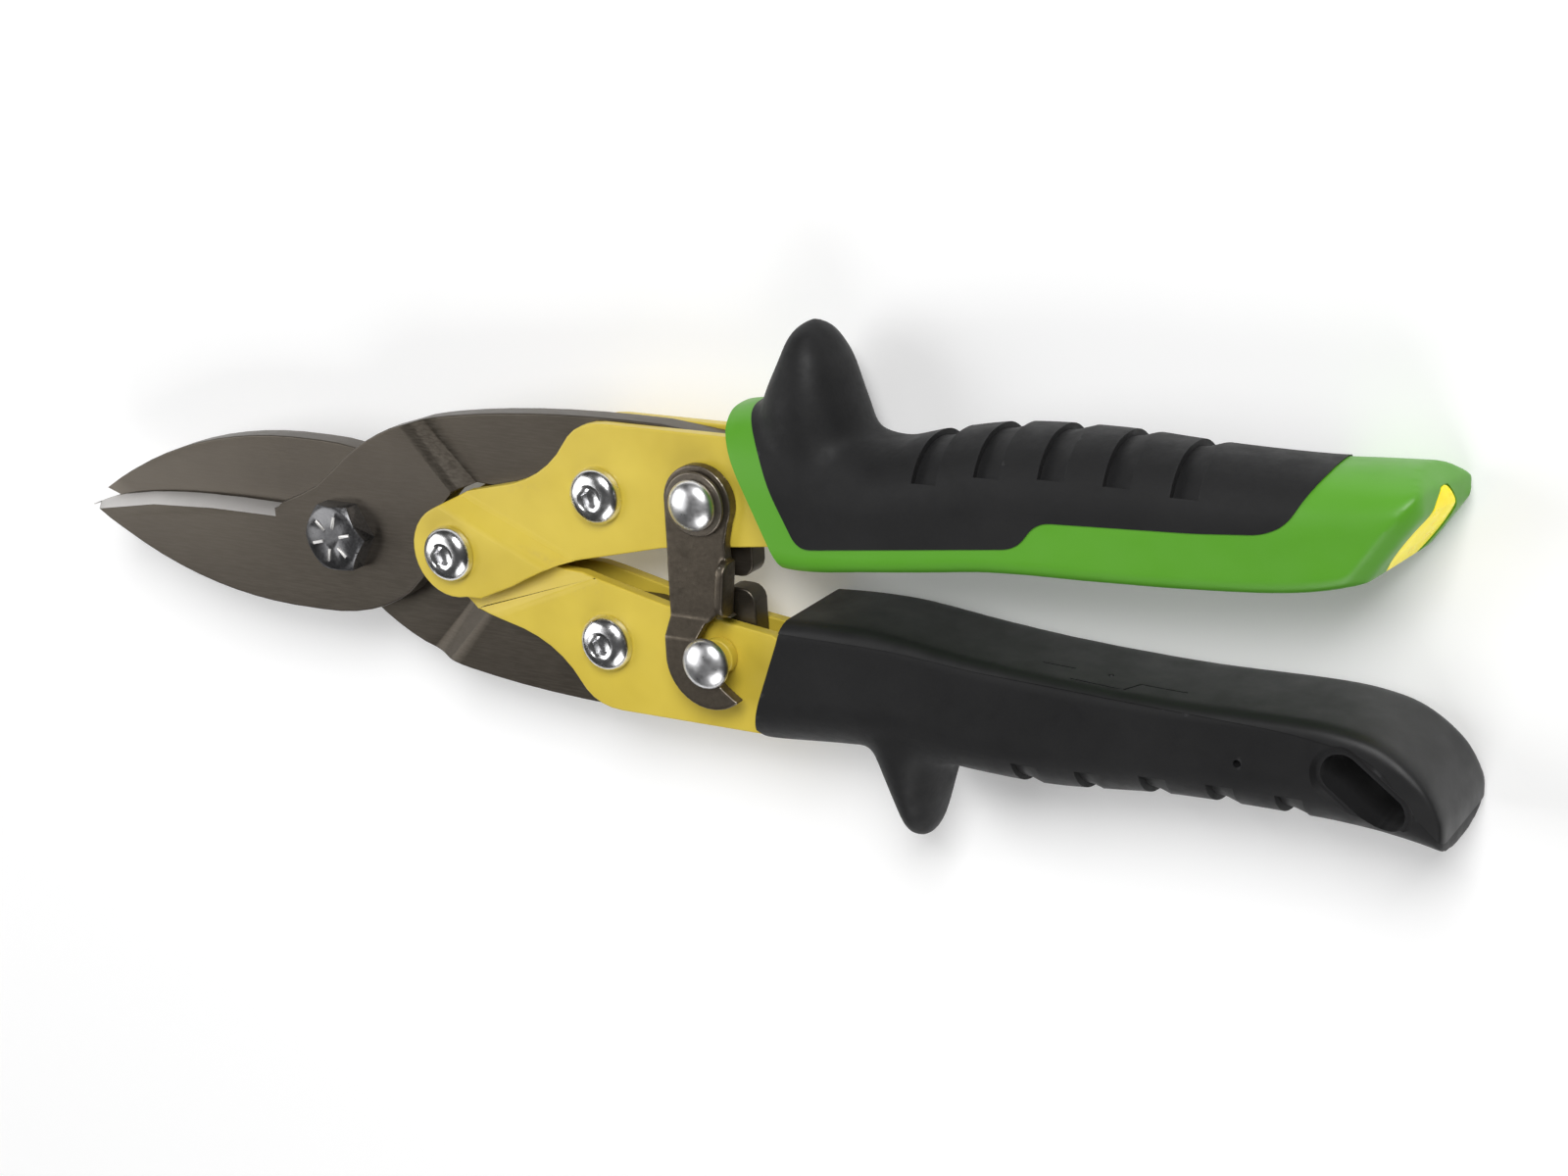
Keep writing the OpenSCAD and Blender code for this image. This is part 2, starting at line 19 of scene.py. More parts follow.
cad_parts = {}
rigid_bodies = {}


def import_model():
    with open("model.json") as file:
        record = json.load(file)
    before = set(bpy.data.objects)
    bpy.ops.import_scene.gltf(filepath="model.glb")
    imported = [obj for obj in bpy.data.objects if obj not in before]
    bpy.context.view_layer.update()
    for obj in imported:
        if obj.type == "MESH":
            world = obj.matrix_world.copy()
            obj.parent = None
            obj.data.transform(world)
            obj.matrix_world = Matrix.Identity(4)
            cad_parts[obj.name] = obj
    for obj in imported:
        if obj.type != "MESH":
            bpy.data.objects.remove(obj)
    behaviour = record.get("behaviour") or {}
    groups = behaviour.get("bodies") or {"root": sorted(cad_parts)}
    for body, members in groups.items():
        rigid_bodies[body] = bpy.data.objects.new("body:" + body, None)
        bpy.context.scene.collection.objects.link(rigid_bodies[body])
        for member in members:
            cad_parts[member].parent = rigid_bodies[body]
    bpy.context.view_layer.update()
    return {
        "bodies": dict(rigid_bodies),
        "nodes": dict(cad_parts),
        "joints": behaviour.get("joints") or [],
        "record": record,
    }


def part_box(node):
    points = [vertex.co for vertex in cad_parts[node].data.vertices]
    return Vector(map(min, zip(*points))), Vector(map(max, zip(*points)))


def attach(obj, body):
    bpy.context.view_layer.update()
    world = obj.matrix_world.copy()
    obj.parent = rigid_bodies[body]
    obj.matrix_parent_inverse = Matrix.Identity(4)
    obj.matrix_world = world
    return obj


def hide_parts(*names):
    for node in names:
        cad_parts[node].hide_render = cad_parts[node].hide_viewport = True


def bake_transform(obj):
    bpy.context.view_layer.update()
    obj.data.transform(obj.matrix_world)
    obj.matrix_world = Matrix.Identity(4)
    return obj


log = logging.getLogger("snips")

MM = 0.001
SAME_SPOT = 1e-6
NEARLY_SAME_SPOT = 2e-6
BENDS = (6.0, 60.0)
RIMS = (50.0, 180.0)

Point2 = tuple[float, float]
Point3 = tuple[float, float, float]
Colour = tuple[float, float, float]
Row = tuple[float, ...]
Socket = bpy.types.NodeSocket
EdgeTest = Callable[[bmesh.types.BMEdge], bool]
FaceTest = Callable[[Vector, Vector], bool]


class Body(Enum):
    """The bodies that the pieces ride on."""

    UPPER = "upper_handle"
    LOWER = "lower_handle"
    FRONT_BLADE = "front_blade"
    REAR_BLADE = "rear_blade"
    LATCH = "latch"


class Side(Enum):
    """The way a grip's outer side or a jaw's cutting edge faces across the tool."""

    UP = 1
    DOWN = -1


class Start(Enum):
    """What is selected when an edit begins."""

    WITH_ALL = "SELECT"
    WITH_NOTHING = "DESELECT"


class Cut(Enum):
    """What a tool does to the piece that it meets."""

    AWAY = "DIFFERENCE"
    TO_SHAPE = "INTERSECT"


class Solver(Enum):
    """How a cut is worked out: between two closed skins, or face by face."""

    SKINS = "MANIFOLD"
    FACES = "EXACT"


# ---------------------------------------------------------------- places


@dataclass(frozen=True)
class Layout:
    """Where the main pivot and the handle pivot lie, read from the frame's joints."""

    origin: Vector
    handle_pivot: Vector

    @classmethod
    def from_frame(cls, frame: dict[str, Any]) -> "Layout":
        """Reads the joints.


        Returns:
            The layout, in metres in the row frame.
        """
        spots = {j["name"]: Vector(j["pos_m"]) for j in frame["record"]["behaviour"]["joints"]}
        return cls(spots["front_blade_swing"], spots["handle_open"])

    def at(self, x: float, y: float, z: float = 0.0) -> Vector:
        """A place in the row frame, in metres, from millimetres about the main pivot."""
        return self.origin + Vector((x, y, z)) * MM


# ---------------------------------------------------------------- modelling steps


def clear_selection() -> None:
    """Goes back to object mode and deselects every object."""
    if bpy.context.object and bpy.context.object.mode != "OBJECT":
        bpy.ops.object.mode_set(mode="OBJECT")
    bpy.ops.object.select_all(action="DESELECT")


def pick(*pieces: bpy.types.Object) -> None:
    """Selects only these pieces and makes the first of them active.

    Args:
        pieces: the objects to select.
    """
    clear_selection()
    for piece in pieces:
        piece.select_set(True)
    bpy.context.view_layer.objects.active = pieces[0]


def begin_edit(piece: bpy.types.Object, start: Start = Start.WITH_ALL) -> None:
    """Enters edit mode with all or nothing selected.

    Args:
        piece: the mesh to edit.
        start: what is selected.
    """
    pick(piece)
    bpy.ops.object.mode_set(mode="EDIT")
    bpy.ops.mesh.select_mode(type="VERT")
    bpy.ops.mesh.select_all(action=start.value)


def end_edit() -> None:
    """Leaves edit mode."""
    bpy.ops.object.mode_set(mode="OBJECT")


def settle(piece: bpy.types.Object) -> bpy.types.Object:
    """Puts the piece's place into its mesh, so that its object stands at the origin.

    Args:
        piece: the object to settle.

    Returns:
        The same object.
    """
    pick(piece)
    bpy.ops.object.transform_apply(location=True, rotation=True, scale=True)
    return piece


def apply_modifier(piece: bpy.types.Object, kind: str, **settings: Any) -> None:
    """Adds a modifier, sets it and applies it.

    Args:
        piece: the object that gets it.
        kind: the modifier's type.
        settings: the modifier's own settings.
    """
    pick(piece)
    bpy.ops.object.modifier_add(type=kind)
    modifier = piece.modifiers[-1]
    for key, value in settings.items():
        setattr(modifier, key, value)
    bpy.ops.object.modifier_apply(modifier=modifier.name)


def copied(piece: bpy.types.Object, name: str) -> bpy.types.Object:
    """Copies a piece with a mesh of its own.

    Args:
        piece: the object to copy.
        name: the copy's name.

    Returns:
        The copy.
    """
    pick(piece)
    bpy.ops.object.duplicate(linked=False)
    copy = bpy.context.object
    copy.name = name
    return copy


def carve(piece: bpy.types.Object, tool: bpy.types.Object, cut: Cut = Cut.AWAY,
          solver: Solver = Solver.SKINS) -> None:
    """Cuts a piece with a tool, which is used up.

    Args:
        piece: the object that changes.
        tool: the other object.
        cut: whether the tool's space is cut away or is all that stays.
        solver: how the cut is worked out.
    """
    apply_modifier(piece, "BOOLEAN", operation=cut.value, object=tool, solver=solver.value)
    bpy.data.objects.remove(tool, do_unlink=True)


def ease_edges(piece: bpy.types.Object, width: float, segments: int) -> None:
    """Eases the sharp edges of a finished shape.

    Args:
        piece: the object.
        width: how wide its edges get, in millimetres.
        segments: how many faces lie across each.
    """
    apply_modifier(piece, "BEVEL", width=width * MM, segments=segments, limit_method="ANGLE",
                   angle_limit=math.radians(RIMS[0]), use_clamp_overlap=False)


def merge_doubles(piece: bpy.types.Object, distance: float = SAME_SPOT) -> None:
    """Merges the vertices that lie on each other.

    Args:
        piece: the mesh to clean.
        distance: how close two vertices lie, in metres.
    """
    begin_edit(piece)
    bpy.ops.mesh.remove_doubles(threshold=distance)
    end_edit()


def face_outwards(piece: bpy.types.Object) -> None:
    """Turns every face outwards."""
    begin_edit(piece)
    bpy.ops.mesh.normals_make_consistent(inside=False)
    end_edit()


def smooth_shading(piece: bpy.types.Object, degrees: float = 30.0) -> None:
    """Shades a piece smooth, apart from edges sharper than an angle.

    Args:
        piece: the object to shade.
        degrees: the sharpest angle that still looks round.
    """
    pick(piece)
    bpy.ops.object.shade_smooth_by_angle(angle=math.radians(degrees))


def give_second_finish(piece: bpy.types.Object, wanted: FaceTest) -> None:
    """Gives a piece's second finish to some of its faces.

    Args:
        piece: the object, which has two finishes.
        wanted: takes a face's middle and normal and says whether it is meant.
    """
    begin_edit(piece, Start.WITH_NOTHING)
    bpy.ops.mesh.select_mode(type="FACE")
    sheet = bmesh.from_edit_mesh(piece.data)
    for face in sheet.faces:
        face.select_set(wanted(face.calc_center_median(), face.normal))
    sheet.select_flush_mode()
    bmesh.update_edit_mesh(piece.data)
    piece.active_material_index = 1
    bpy.ops.object.material_slot_assign()
    end_edit()


def bevel_edges(piece: bpy.types.Object, width: float, segments: int, angles: Point2,
                wanted: EdgeTest = lambda edge: True) -> None:
    """Bevels the edges whose faces meet at an angle between two values, in edit mode.

    Args:
        piece: the mesh, which is in edit mode.
        width: how wide the bevel is, in millimetres.
        segments: how many faces lie across it.
        angles: the smallest and the largest angle, in degrees.
        wanted: a further test of an edge.
    """
    bpy.ops.mesh.select_mode(type="EDGE")
    sheet = bmesh.from_edit_mesh(piece.data)
    found = 0
    for edge in sheet.edges:
        angle = math.degrees(edge.calc_face_angle(0.0))
        chosen = angles[0] <= angle <= angles[1] and wanted(edge)
        edge.select_set(chosen)
        found += chosen
    bmesh.update_edit_mesh(piece.data)
    if found:
        bpy.ops.mesh.bevel(offset=width * MM, segments=segments, affect="EDGES", clamp_overlap=False)


def is_bend(edge: bmesh.types.BMEdge) -> bool:
    """Whether an edge is a bend line across a plate: both its faces look up or both look down."""
    return all(abs(face.normal.z) > 0.5 for face in edge.link_faces)


def draw_points(name: str, points: Sequence[Vector]) -> bpy.types.Object:
    """Draws a chain of points: a plane is merged to one vertex, which is extruded from point to point.

    Args:
        name: the new piece's name.
        points: the chain's points, in metres.

    Returns:
        The piece, which has edges only.
    """
    clear_selection()
    bpy.ops.mesh.primitive_plane_add(size=MM, location=points[0])
    piece = settle(bpy.context.object)
    piece.name = name
    begin_edit(piece)
    bpy.ops.mesh.merge(type="CENTER")
    for here, there in zip(points, points[1:]):
        bpy.ops.mesh.extrude_vertices_move(TRANSFORM_OT_translate={"value": tuple(there - here)})
    end_edit()
    return piece


def slab(name: str, layout: Layout, outline: Sequence[Point2], low: float, high: float) -> bpy.types.Object:
    """Makes a flat plate from its outline.

    Args:
        name: the new piece's name.
        layout: turns places into metres.
        outline: the outline's corners in the tool plane, in millimetres.
        low: the height of the plate's lower face, in millimetres.
        high: the height of its upper face.

    Returns:
        The plate, closed and facing outwards.
    """
    piece = draw_points(name, [layout.at(x, y, low) for x, y in outline])
    begin_edit(piece)
    bpy.ops.mesh.edge_face_add()
    bpy.ops.mesh.extrude_region_move(TRANSFORM_OT_translate={"value": (0, 0, (high - low) * MM)})
    end_edit()
    face_outwards(piece)
    return piece


def turned(name: str, centre: Vector, profile: Sequence[Point2], steps: int = 64) -> bpy.types.Object:
    """Turns a profile round an upright axis, as on a lathe.

    Args:
        name: the new piece's name.
        centre: a point on the axis, in metres.
        profile: radius and height of each point, in millimetres, from axis to axis.
        steps: how many faces go round.

    Returns:
        The turned piece, closed and facing outwards.
    """
    piece = draw_points(name, [centre + Vector((r, 0, h)) * MM for r, h in profile])
    begin_edit(piece)
    bpy.ops.mesh.spin(steps=steps, angle=math.tau, center=centre, axis=(0, 0, 1))
    bpy.ops.mesh.select_all(action="SELECT")
    bpy.ops.mesh.remove_doubles(threshold=NEARLY_SAME_SPOT)
    bpy.ops.mesh.normals_make_consistent(inside=False)
    end_edit()
    return piece


def prism(name: str, centre: Vector, radius: float, height: float, sides: int,
          turn: float = 0.0) -> bpy.types.Object:
    """Makes an upright prism.

    Args:
        name: the new piece's name.
        centre: the middle of its lower face, in metres.
        radius: the radius through its corners, in millimetres.
        height: its height, in millimetres.
        sides: how many sides it has.
        turn: how far it is turned about its axis, in degrees.

    Returns:
        The prism.
    """
    clear_selection()
    bpy.ops.mesh.primitive_cylinder_add(vertices=sides, radius=radius * MM, depth=height * MM,
                                        location=centre + Vector((0, 0, height / 2)) * MM,
                                        rotation=(0, 0, math.radians(turn)))
    piece = settle(bpy.context.object)
    piece.name = name
    return piece


def standing(node: str) -> tuple[Vector, float]:
    """Where an upright CAD node stands.

    Args:
        node: the node's name.

    Returns:
        The middle of its foot, in metres, and its height, in millimetres.
    """
    low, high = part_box(node)
    return Vector(((low[0] + high[0]) / 2, (low[1] + high[1]) / 2, low[2])), (high[2] - low[2]) / MM


# ---------------------------------------------------------------- curves


def share(value: float) -> float:
    """A value held between 0 and 1."""
    return max(0.0, min(1.0, value))


def quarter_round(centre: Point2, reach: float, rise: float, step: int) -> list[Point2]:
    """The points of a quarter of an oval, from its widest point up to its top.

    Args:
        centre: the oval's centre.
        reach: how far it reaches sideways.
        rise: how far it rises.
        step: the turn from point to point, in degrees.

    Returns:
        The points in order.
    """
    turns = [math.radians(a) for a in range(0, 91, step)]
    return [(centre[0] + reach * math.cos(turn), centre[1] + rise * math.sin(turn)) for turn in turns]


def rounded(corners: Sequence[Point2], radius: float, steps: int = 6) -> list[Point2]:
    """Rounds the inner corners of an open chain with curves.

    Args:
        corners: the chain's corners.
        radius: how far from each corner its curve starts.
        steps: how many chords each curve has.

    Returns:
        The chain's points, with its two ends as they were.
    """
    points: list[Point2] = [corners[0]]
    for before, corner, after in zip(corners, corners[1:], corners[2:]):
        middle = Vector(corner)
        to_before, to_after = Vector(before) - middle, Vector(after) - middle
        reach = min(radius, to_before.length / 2, to_after.length / 2)
        first, last = middle + to_before.normalized() * reach, middle + to_after.normalized() * reach
        for i in range(steps + 1):
            t = i / steps
            spot = first * (1 - t) ** 2 + middle * 2 * t * (1 - t) + last * t * t
            points.append((spot.x, spot.y))
    points.append(corners[-1])
    return points


def follow(stations: Sequence[Row], x: float) -> Row:
    """Reads a smooth curve through stations.

    Args:
        stations: rows that start with their own x, in rising order.
        x: where to read.

    Returns:
        The row's other values there.
    """
    last = len(stations) - 2
    i = max(0, min(last, sum(1 for s in stations[1:-1] if s[0] <= x)))
    rows = [stations[max(0, i - 1)], stations[i], stations[i + 1], stations[min(last + 1, i + 2)]]
    span = rows[2][0] - rows[1][0]
    t = (x - rows[1][0]) / span
    values = []
    for k in range(1, len(rows[0])):
        into = (rows[2][k] - rows[0][k]) / max(rows[2][0] - rows[0][0], MM) * span
        out = (rows[3][k] - rows[1][k]) / max(rows[3][0] - rows[1][0], MM) * span
        values.append((2 * t ** 3 - 3 * t ** 2 + 1) * rows[1][k] + (t ** 3 - 2 * t ** 2 + t) * into
                      + (3 * t ** 2 - 2 * t ** 3) * rows[2][k] + (t ** 3 - t ** 2) * out)
    return tuple(values)


# ---------------------------------------------------------------- finishes


class NodeBench:
    """Lays out the nodes of one material."""

    def __init__(self, name: str) -> None:
        """Starts a material with its shader.

        Args:
            name: the material's name.
        """
        self.material = bpy.data.materials.new(name)
        self.material.use_nodes = True
        self.tree = self.material.node_tree
        self.shader = self.tree.nodes["Principled BSDF"]
        self.places = self.tree.nodes.new("ShaderNodeTexCoord")

    def set(self, **values: Any) -> None:
        """Sets constant values on the shader's own sockets.

        Args:
            values: socket names, with _ for a space, and their values.
        """
        for key, value in values.items():
            self.shader.inputs[key.replace("_", " ")].default_value = value

    def feed(self, source: Socket, socket: str) -> None:
        """Links an output to one of the shader's sockets."""
        self.tree.links.new(source, self.shader.inputs[socket])

    def stretched(self, scale: Point3) -> Socket:
        """Object coordinates stretched along each axis."""
        node = self.tree.nodes.new("ShaderNodeMapping")
        node.inputs["Scale"].default_value = scale
        self.tree.links.new(self.places.outputs["Object"], node.inputs["Vector"])
        return node.outputs["Vector"]

    def noise(self, scale: float, detail: float = 4.0, rough: float = 0.55,
              stretch: Point3 = (1, 1, 1)) -> Socket:
        """A noise pattern.

        Args:
            scale: its scale in repeats a metre.
            detail: how many finer layers it has.
            rough: how strong they are.
            stretch: how each axis is stretched.

        Returns:
            The pattern's output.
        """
        node = self.tree.nodes.new("ShaderNodeTexNoise")
        node.inputs["Scale"].default_value = scale
        node.inputs["Detail"].default_value = detail
        node.inputs["Roughness"].default_value = rough
        self.tree.links.new(self.stretched(stretch), node.inputs["Vector"])
        return node.outputs["Fac"]

    def grain(self, scale: float) -> Socket:
        """Round pits or pebbles, as a distance pattern."""
        node = self.tree.nodes.new("ShaderNodeTexVoronoi")
        node.inputs["Scale"].default_value = scale
        self.tree.links.new(self.places.outputs["Object"], node.inputs["Vector"])
        return node.outputs["Distance"]

    def edges(self, low: float, high: float) -> Socket:
        """How much a spot stands out as a worn edge."""
        node = self.tree.nodes.new("ShaderNodeNewGeometry")
        return self.levels(node.outputs["Pointiness"], low, high)

    def levels(self, source: Socket, low: float, high: float, to_low: float = 0.0,
               to_high: float = 1.0) -> Socket:
        """Spreads a value from one range onto another.

        Args:
            source: the value.
            low: the value that becomes to_low.
            high: the value that becomes to_high.
            to_low: the low end of the result.
            to_high: the high end of the result.

        Returns:
            The result's output.
        """
        node = self.tree.nodes.new("ShaderNodeMapRange")
        for key, value in zip(("From Min", "From Max", "To Min", "To Max"), (low, high, to_low, to_high)):
            node.inputs[key].default_value = value
        self.tree.links.new(source, node.inputs["Value"])
        return node.outputs["Result"]

    def blend(self, mask: Socket, first: Colour | Socket, second: Colour | Socket) -> Socket:
        """Mixes two colours.

        Args:
            mask: how much of the second shows.
            first: a colour or an output.
            second: a colour or an output.

        Returns:
            The mixed colour's output.
        """
        node = self.tree.nodes.new("ShaderNodeMix")
        node.data_type = "RGBA"
        self.tree.links.new(mask, node.inputs["Factor"])
        for socket, value in ((node.inputs["A"], first), (node.inputs["B"], second)):
            if isinstance(value, tuple):
                socket.default_value = (*value, 1.0)
            else:
                self.tree.links.new(value, socket)
        return node.outputs["Result"]

    def bump(self, height: Socket, strength: float, depth: float, under: Socket | None = None) -> Socket:
        """Raises the surface by a pattern.

        Args:
            height: the pattern.
            strength: how strongly it shows.
            depth: its depth in metres.
            under: the output of a coarser bump below it.

        Returns:
            The normal's output.
        """
        node = self.tree.nodes.new("ShaderNodeBump")
        node.inputs["Strength"].default_value = strength
        node.inputs["Distance"].default_value = depth
        self.tree.links.new(height, node.inputs["Height"])
        if under is not None:
            self.tree.links.new(under, node.inputs["Normal"])
        return node.outputs["Normal"]

    def both(self, first: Socket, second: Socket) -> Socket:
        """Two patterns multiplied, which shows only where both do."""
        node = self.tree.nodes.new("ShaderNodeMath")
        node.operation = "MULTIPLY"
        self.tree.links.new(first, node.inputs[0])
        self.tree.links.new(second, node.inputs[1])
        return node.outputs["Value"]

    def roughen(self, pattern: Socket, middle: float, less: float, more: float,
                low: float = 0.3, high: float = 0.7) -> None:
        """Lets the roughness wander about its middle value with a pattern.

        Args:
            pattern: the pattern.
            middle: the finish's own roughness.
            less: how far it falls below that.
            more: how far it rises above that.
            low: the pattern's value where the roughness is least.
            high: the pattern's value where it is greatest.
        """
        self.feed(self.levels(pattern, low, high, middle - less, middle + more), "Roughness")


@dataclass(frozen=True)
class Finish:
    """What every finish has: its name, the name of a slot in the record, which is not used, and two tones of
    its colour.
    """

    name: str
    slot: str
    colour: Colour
    shade: Colour

    def build(self) -> bpy.types.Material:
        """Makes the material."""
        raise NotImplementedError(self.name)


@dataclass(frozen=True)
class PowderCoat(Finish):
    """Satin powder coat on steel: an orange-peel skin, thinner and browner along the sheared edges."""

    name: str = "yellow_powder_coat"
    slot: str = "yellow_coating"
    colour: Colour = (0.70, 0.54, 0.065)
    shade: Colour = (0.60, 0.45, 0.045)
    worn: Colour = (0.42, 0.30, 0.10)
    roughness: float = 0.36

    def build(self) -> bpy.types.Material:
        """Makes the material.

        Returns:
            The material with its nodes.
        """
        bench = NodeBench(self.name)
        patches = bench.levels(bench.noise(60, 3), 0.35, 0.7)
        coat = bench.blend(patches, self.colour, self.shade)
        rub = bench.levels(bench.noise(900, 5), 0.45, 0.62)
        edge = bench.edges(0.56, 0.66)
        bench.feed(bench.blend(bench.both(rub, edge), coat, self.worn), "Base Color")
        bench.roughen(bench.noise(250, 4), self.roughness, 0.05, 0.08)
        bench.feed(bench.bump(bench.noise(1500, 2), 0.12, 0.00005), "Normal")
        bench.set(Coat_Weight=0.12, Coat_Roughness=0.3, Specular_IOR_Level=0.5)
        return bench.material


@dataclass(frozen=True)
class BrushedSteel(Finish):
    """Steel with fine lines from grinding or rolling, and lighter rubbed edges."""

    edge: Colour
    roughness: float = 0.38
    metal: float = 0.9
    lines: Point3 = (1.0, 12.0, 12.0)
    line_scale: float = 260.0
    line_depth: float = 0.00004
    rubbed: bool = True

    def build(self) -> bpy.types.Material:
        """Makes the material.

        Returns:
            The material with its nodes.
        """
        bench = NodeBench(self.name)
        streaks = bench.noise(self.line_scale, 6, 0.65, self.lines)
        clouds = bench.levels(bench.noise(45, 4), 0.3, 0.7)
        base = bench.blend(clouds, self.colour, self.shade)
        lit = bench.blend(bench.levels(streaks, 0.42, 0.75, 0, 0.35), base, self.edge)
        worn = bench.blend(bench.edges(0.53, 0.62), lit, self.edge) if self.rubbed else lit
        bench.feed(worn, "Base Color")
        bench.roughen(streaks, self.roughness, 0.07, 0.1)
        fine = bench.bump(bench.noise(3000, 2), 0.10, 0.00003)
        bench.feed(bench.bump(streaks, 0.18, self.line_depth, fine), "Normal")
        bench.set(Metallic=self.metal)
        return bench.material


@dataclass(frozen=True)
class TumbledSteel(Finish):
    """Steel tumbled with stones: even small dents and a soft mottled shine."""

    name: str = "latch_tumbled_steel"
    slot: str = "latch_steel"
    colour: Colour = (0.16, 0.135, 0.105)
    shade: Colour = (0.095, 0.08, 0.062)
    edge: Colour = (0.42, 0.38, 0.33)
    roughness: float = 0.4

    def build(self) -> bpy.types.Material:
        """Makes the material.

        Returns:
            The material with its nodes.
        """
        bench = NodeBench(self.name)
        mottle = bench.levels(bench.noise(420, 5, 0.7), 0.35, 0.68)
        base = bench.blend(mottle, self.colour, self.shade)
        bench.feed(bench.blend(bench.edges(0.53, 0.63), base, self.edge), "Base Color")
        bench.roughen(mottle, self.roughness, 0.08, 0.12, 0.0, 1.0)
        dents = bench.bump(bench.grain(1100), 0.22, 0.00006)
        bench.feed(bench.bump(bench.noise(2400, 3), 0.2, 0.00005, dents), "Normal")
        bench.set(Metallic=0.9)
        return bench.material


@dataclass(frozen=True)
class Plating(Finish):
    """Bright plating with faint smears and a few fine scratches."""

    name: str = "bright_plating"
    slot: str = "plated_steel"
    colour: Colour = (0.86, 0.86, 0.87)
    shade: Colour = (0.72, 0.72, 0.73)
    roughness: float = 0.2

    def build(self) -> bpy.types.Material:
        """Makes the material.

        Returns:
            The material with its nodes.
        """
        bench = NodeBench(self.name)
        smear = bench.levels(bench.noise(300, 4), 0.35, 0.7)
        bench.feed(bench.blend(smear, self.colour, self.shade), "Base Color")
        bench.roughen(bench.noise(700, 5), self.roughness, 0.04, 0.12, high=0.75)
        scratch = bench.noise(500, 3, 0.6, (1.0, 9.0, 1.0))
        bench.feed(bench.bump(scratch, 0.06, 0.00003), "Normal")
        bench.set(Metallic=1.0)
        return bench.material


@dataclass(frozen=True)
class MouldedPlastic(Finish):
    """Hard moulded plastic: a spark-eroded fine grain under a satin skin."""

    roughness: float = 0.42
    grain_depth: float = 0.00003
    shine: float = 0.5

    def build(self) -> bpy.types.Material:
        """Makes the material.

        Returns:
            The material with its nodes.
        """
        bench = NodeBench(self.name)
        flow = bench.levels(bench.noise(35, 4, 0.5, (0.5, 1.5, 1.5)), 0.3, 0.72)
        bench.feed(bench.blend(flow, self.colour, self.shade), "Base Color")
        bench.roughen(bench.noise(180, 4), self.roughness, 0.05, 0.07)
        bench.feed(bench.bump(bench.noise(2600, 3), 0.16, self.grain_depth), "Normal")
        bench.set(Specular_IOR_Level=self.shine)
        return bench.material


@dataclass(frozen=True)
class SoftRubber(Finish):
    """Soft overmould: matt, with a pebbled skin and rubbed, slightly greyer high spots."""

    name: str = "soft_black_rubber"
    slot: str = "black_rubber"
    colour: Colour = (0.0065, 0.0065, 0.007)
    shade: Colour = (0.011, 0.011, 0.0115)
    rubbed: Colour = (0.024, 0.024, 0.025)
    roughness: float = 0.58

    def build(self) -> bpy.types.Material:
        """Makes the material.

        Returns:
            The material with its nodes.
        """
        bench = NodeBench(self.name)
        clouds = bench.levels(bench.noise(55, 5), 0.35, 0.68)
        base = bench.blend(clouds, self.colour, self.shade)
        bench.feed(bench.blend(bench.edges(0.53, 0.62), base, self.rubbed), "Base Color")
        bench.roughen(bench.noise(320, 4), self.roughness, 0.06, 0.1)
        pebble = bench.bump(bench.grain(1500), 0.25, 0.00004)
        bench.feed(bench.bump(bench.noise(3500, 2), 0.18, 0.00003, pebble), "Normal")
        bench.set(Sheen_Weight=0.02, Sheen_Roughness=0.5, Specular_IOR_Level=0.3)
        return bench.material


@dataclass(frozen=True)
class ClearInlay(Finish):
    """Glossy yellow plastic, slightly see-through; its faint yellow emission is a painted glow that stands
    for light shining through it.
    """

    name: str = "yellow_gloss_inlay"
    slot: str = "yellow_plastic"
    colour: Colour = (0.92, 0.80, 0.01)
    shade: Colour = (0.85, 0.66, 0.0)
    roughness: float = 0.3
    glow: float = 0.3

    def build(self) -> bpy.types.Material:
        """Makes the material.

        Returns:
            The material with its nodes.
        """
        bench = NodeBench(self.name)
        depth = bench.levels(bench.noise(220, 4), 0.35, 0.7)
        bench.feed(bench.blend(depth, self.colour, self.shade), "Base Color")
        bench.roughen(bench.noise(500, 3), self.roughness, 0.06, 0.1)
        bench.feed(bench.bump(bench.noise(400, 2), 0.12, 0.0001), "Normal")
        # The yellow emission is a painted glow: the plastic is no lamp, and the glow stands for light
        # shining through it.
        bench.set(Specular_IOR_Level=0.25, Emission_Color=(*self.colour, 1.0),
                  Emission_Strength=self.glow)
        return bench.material


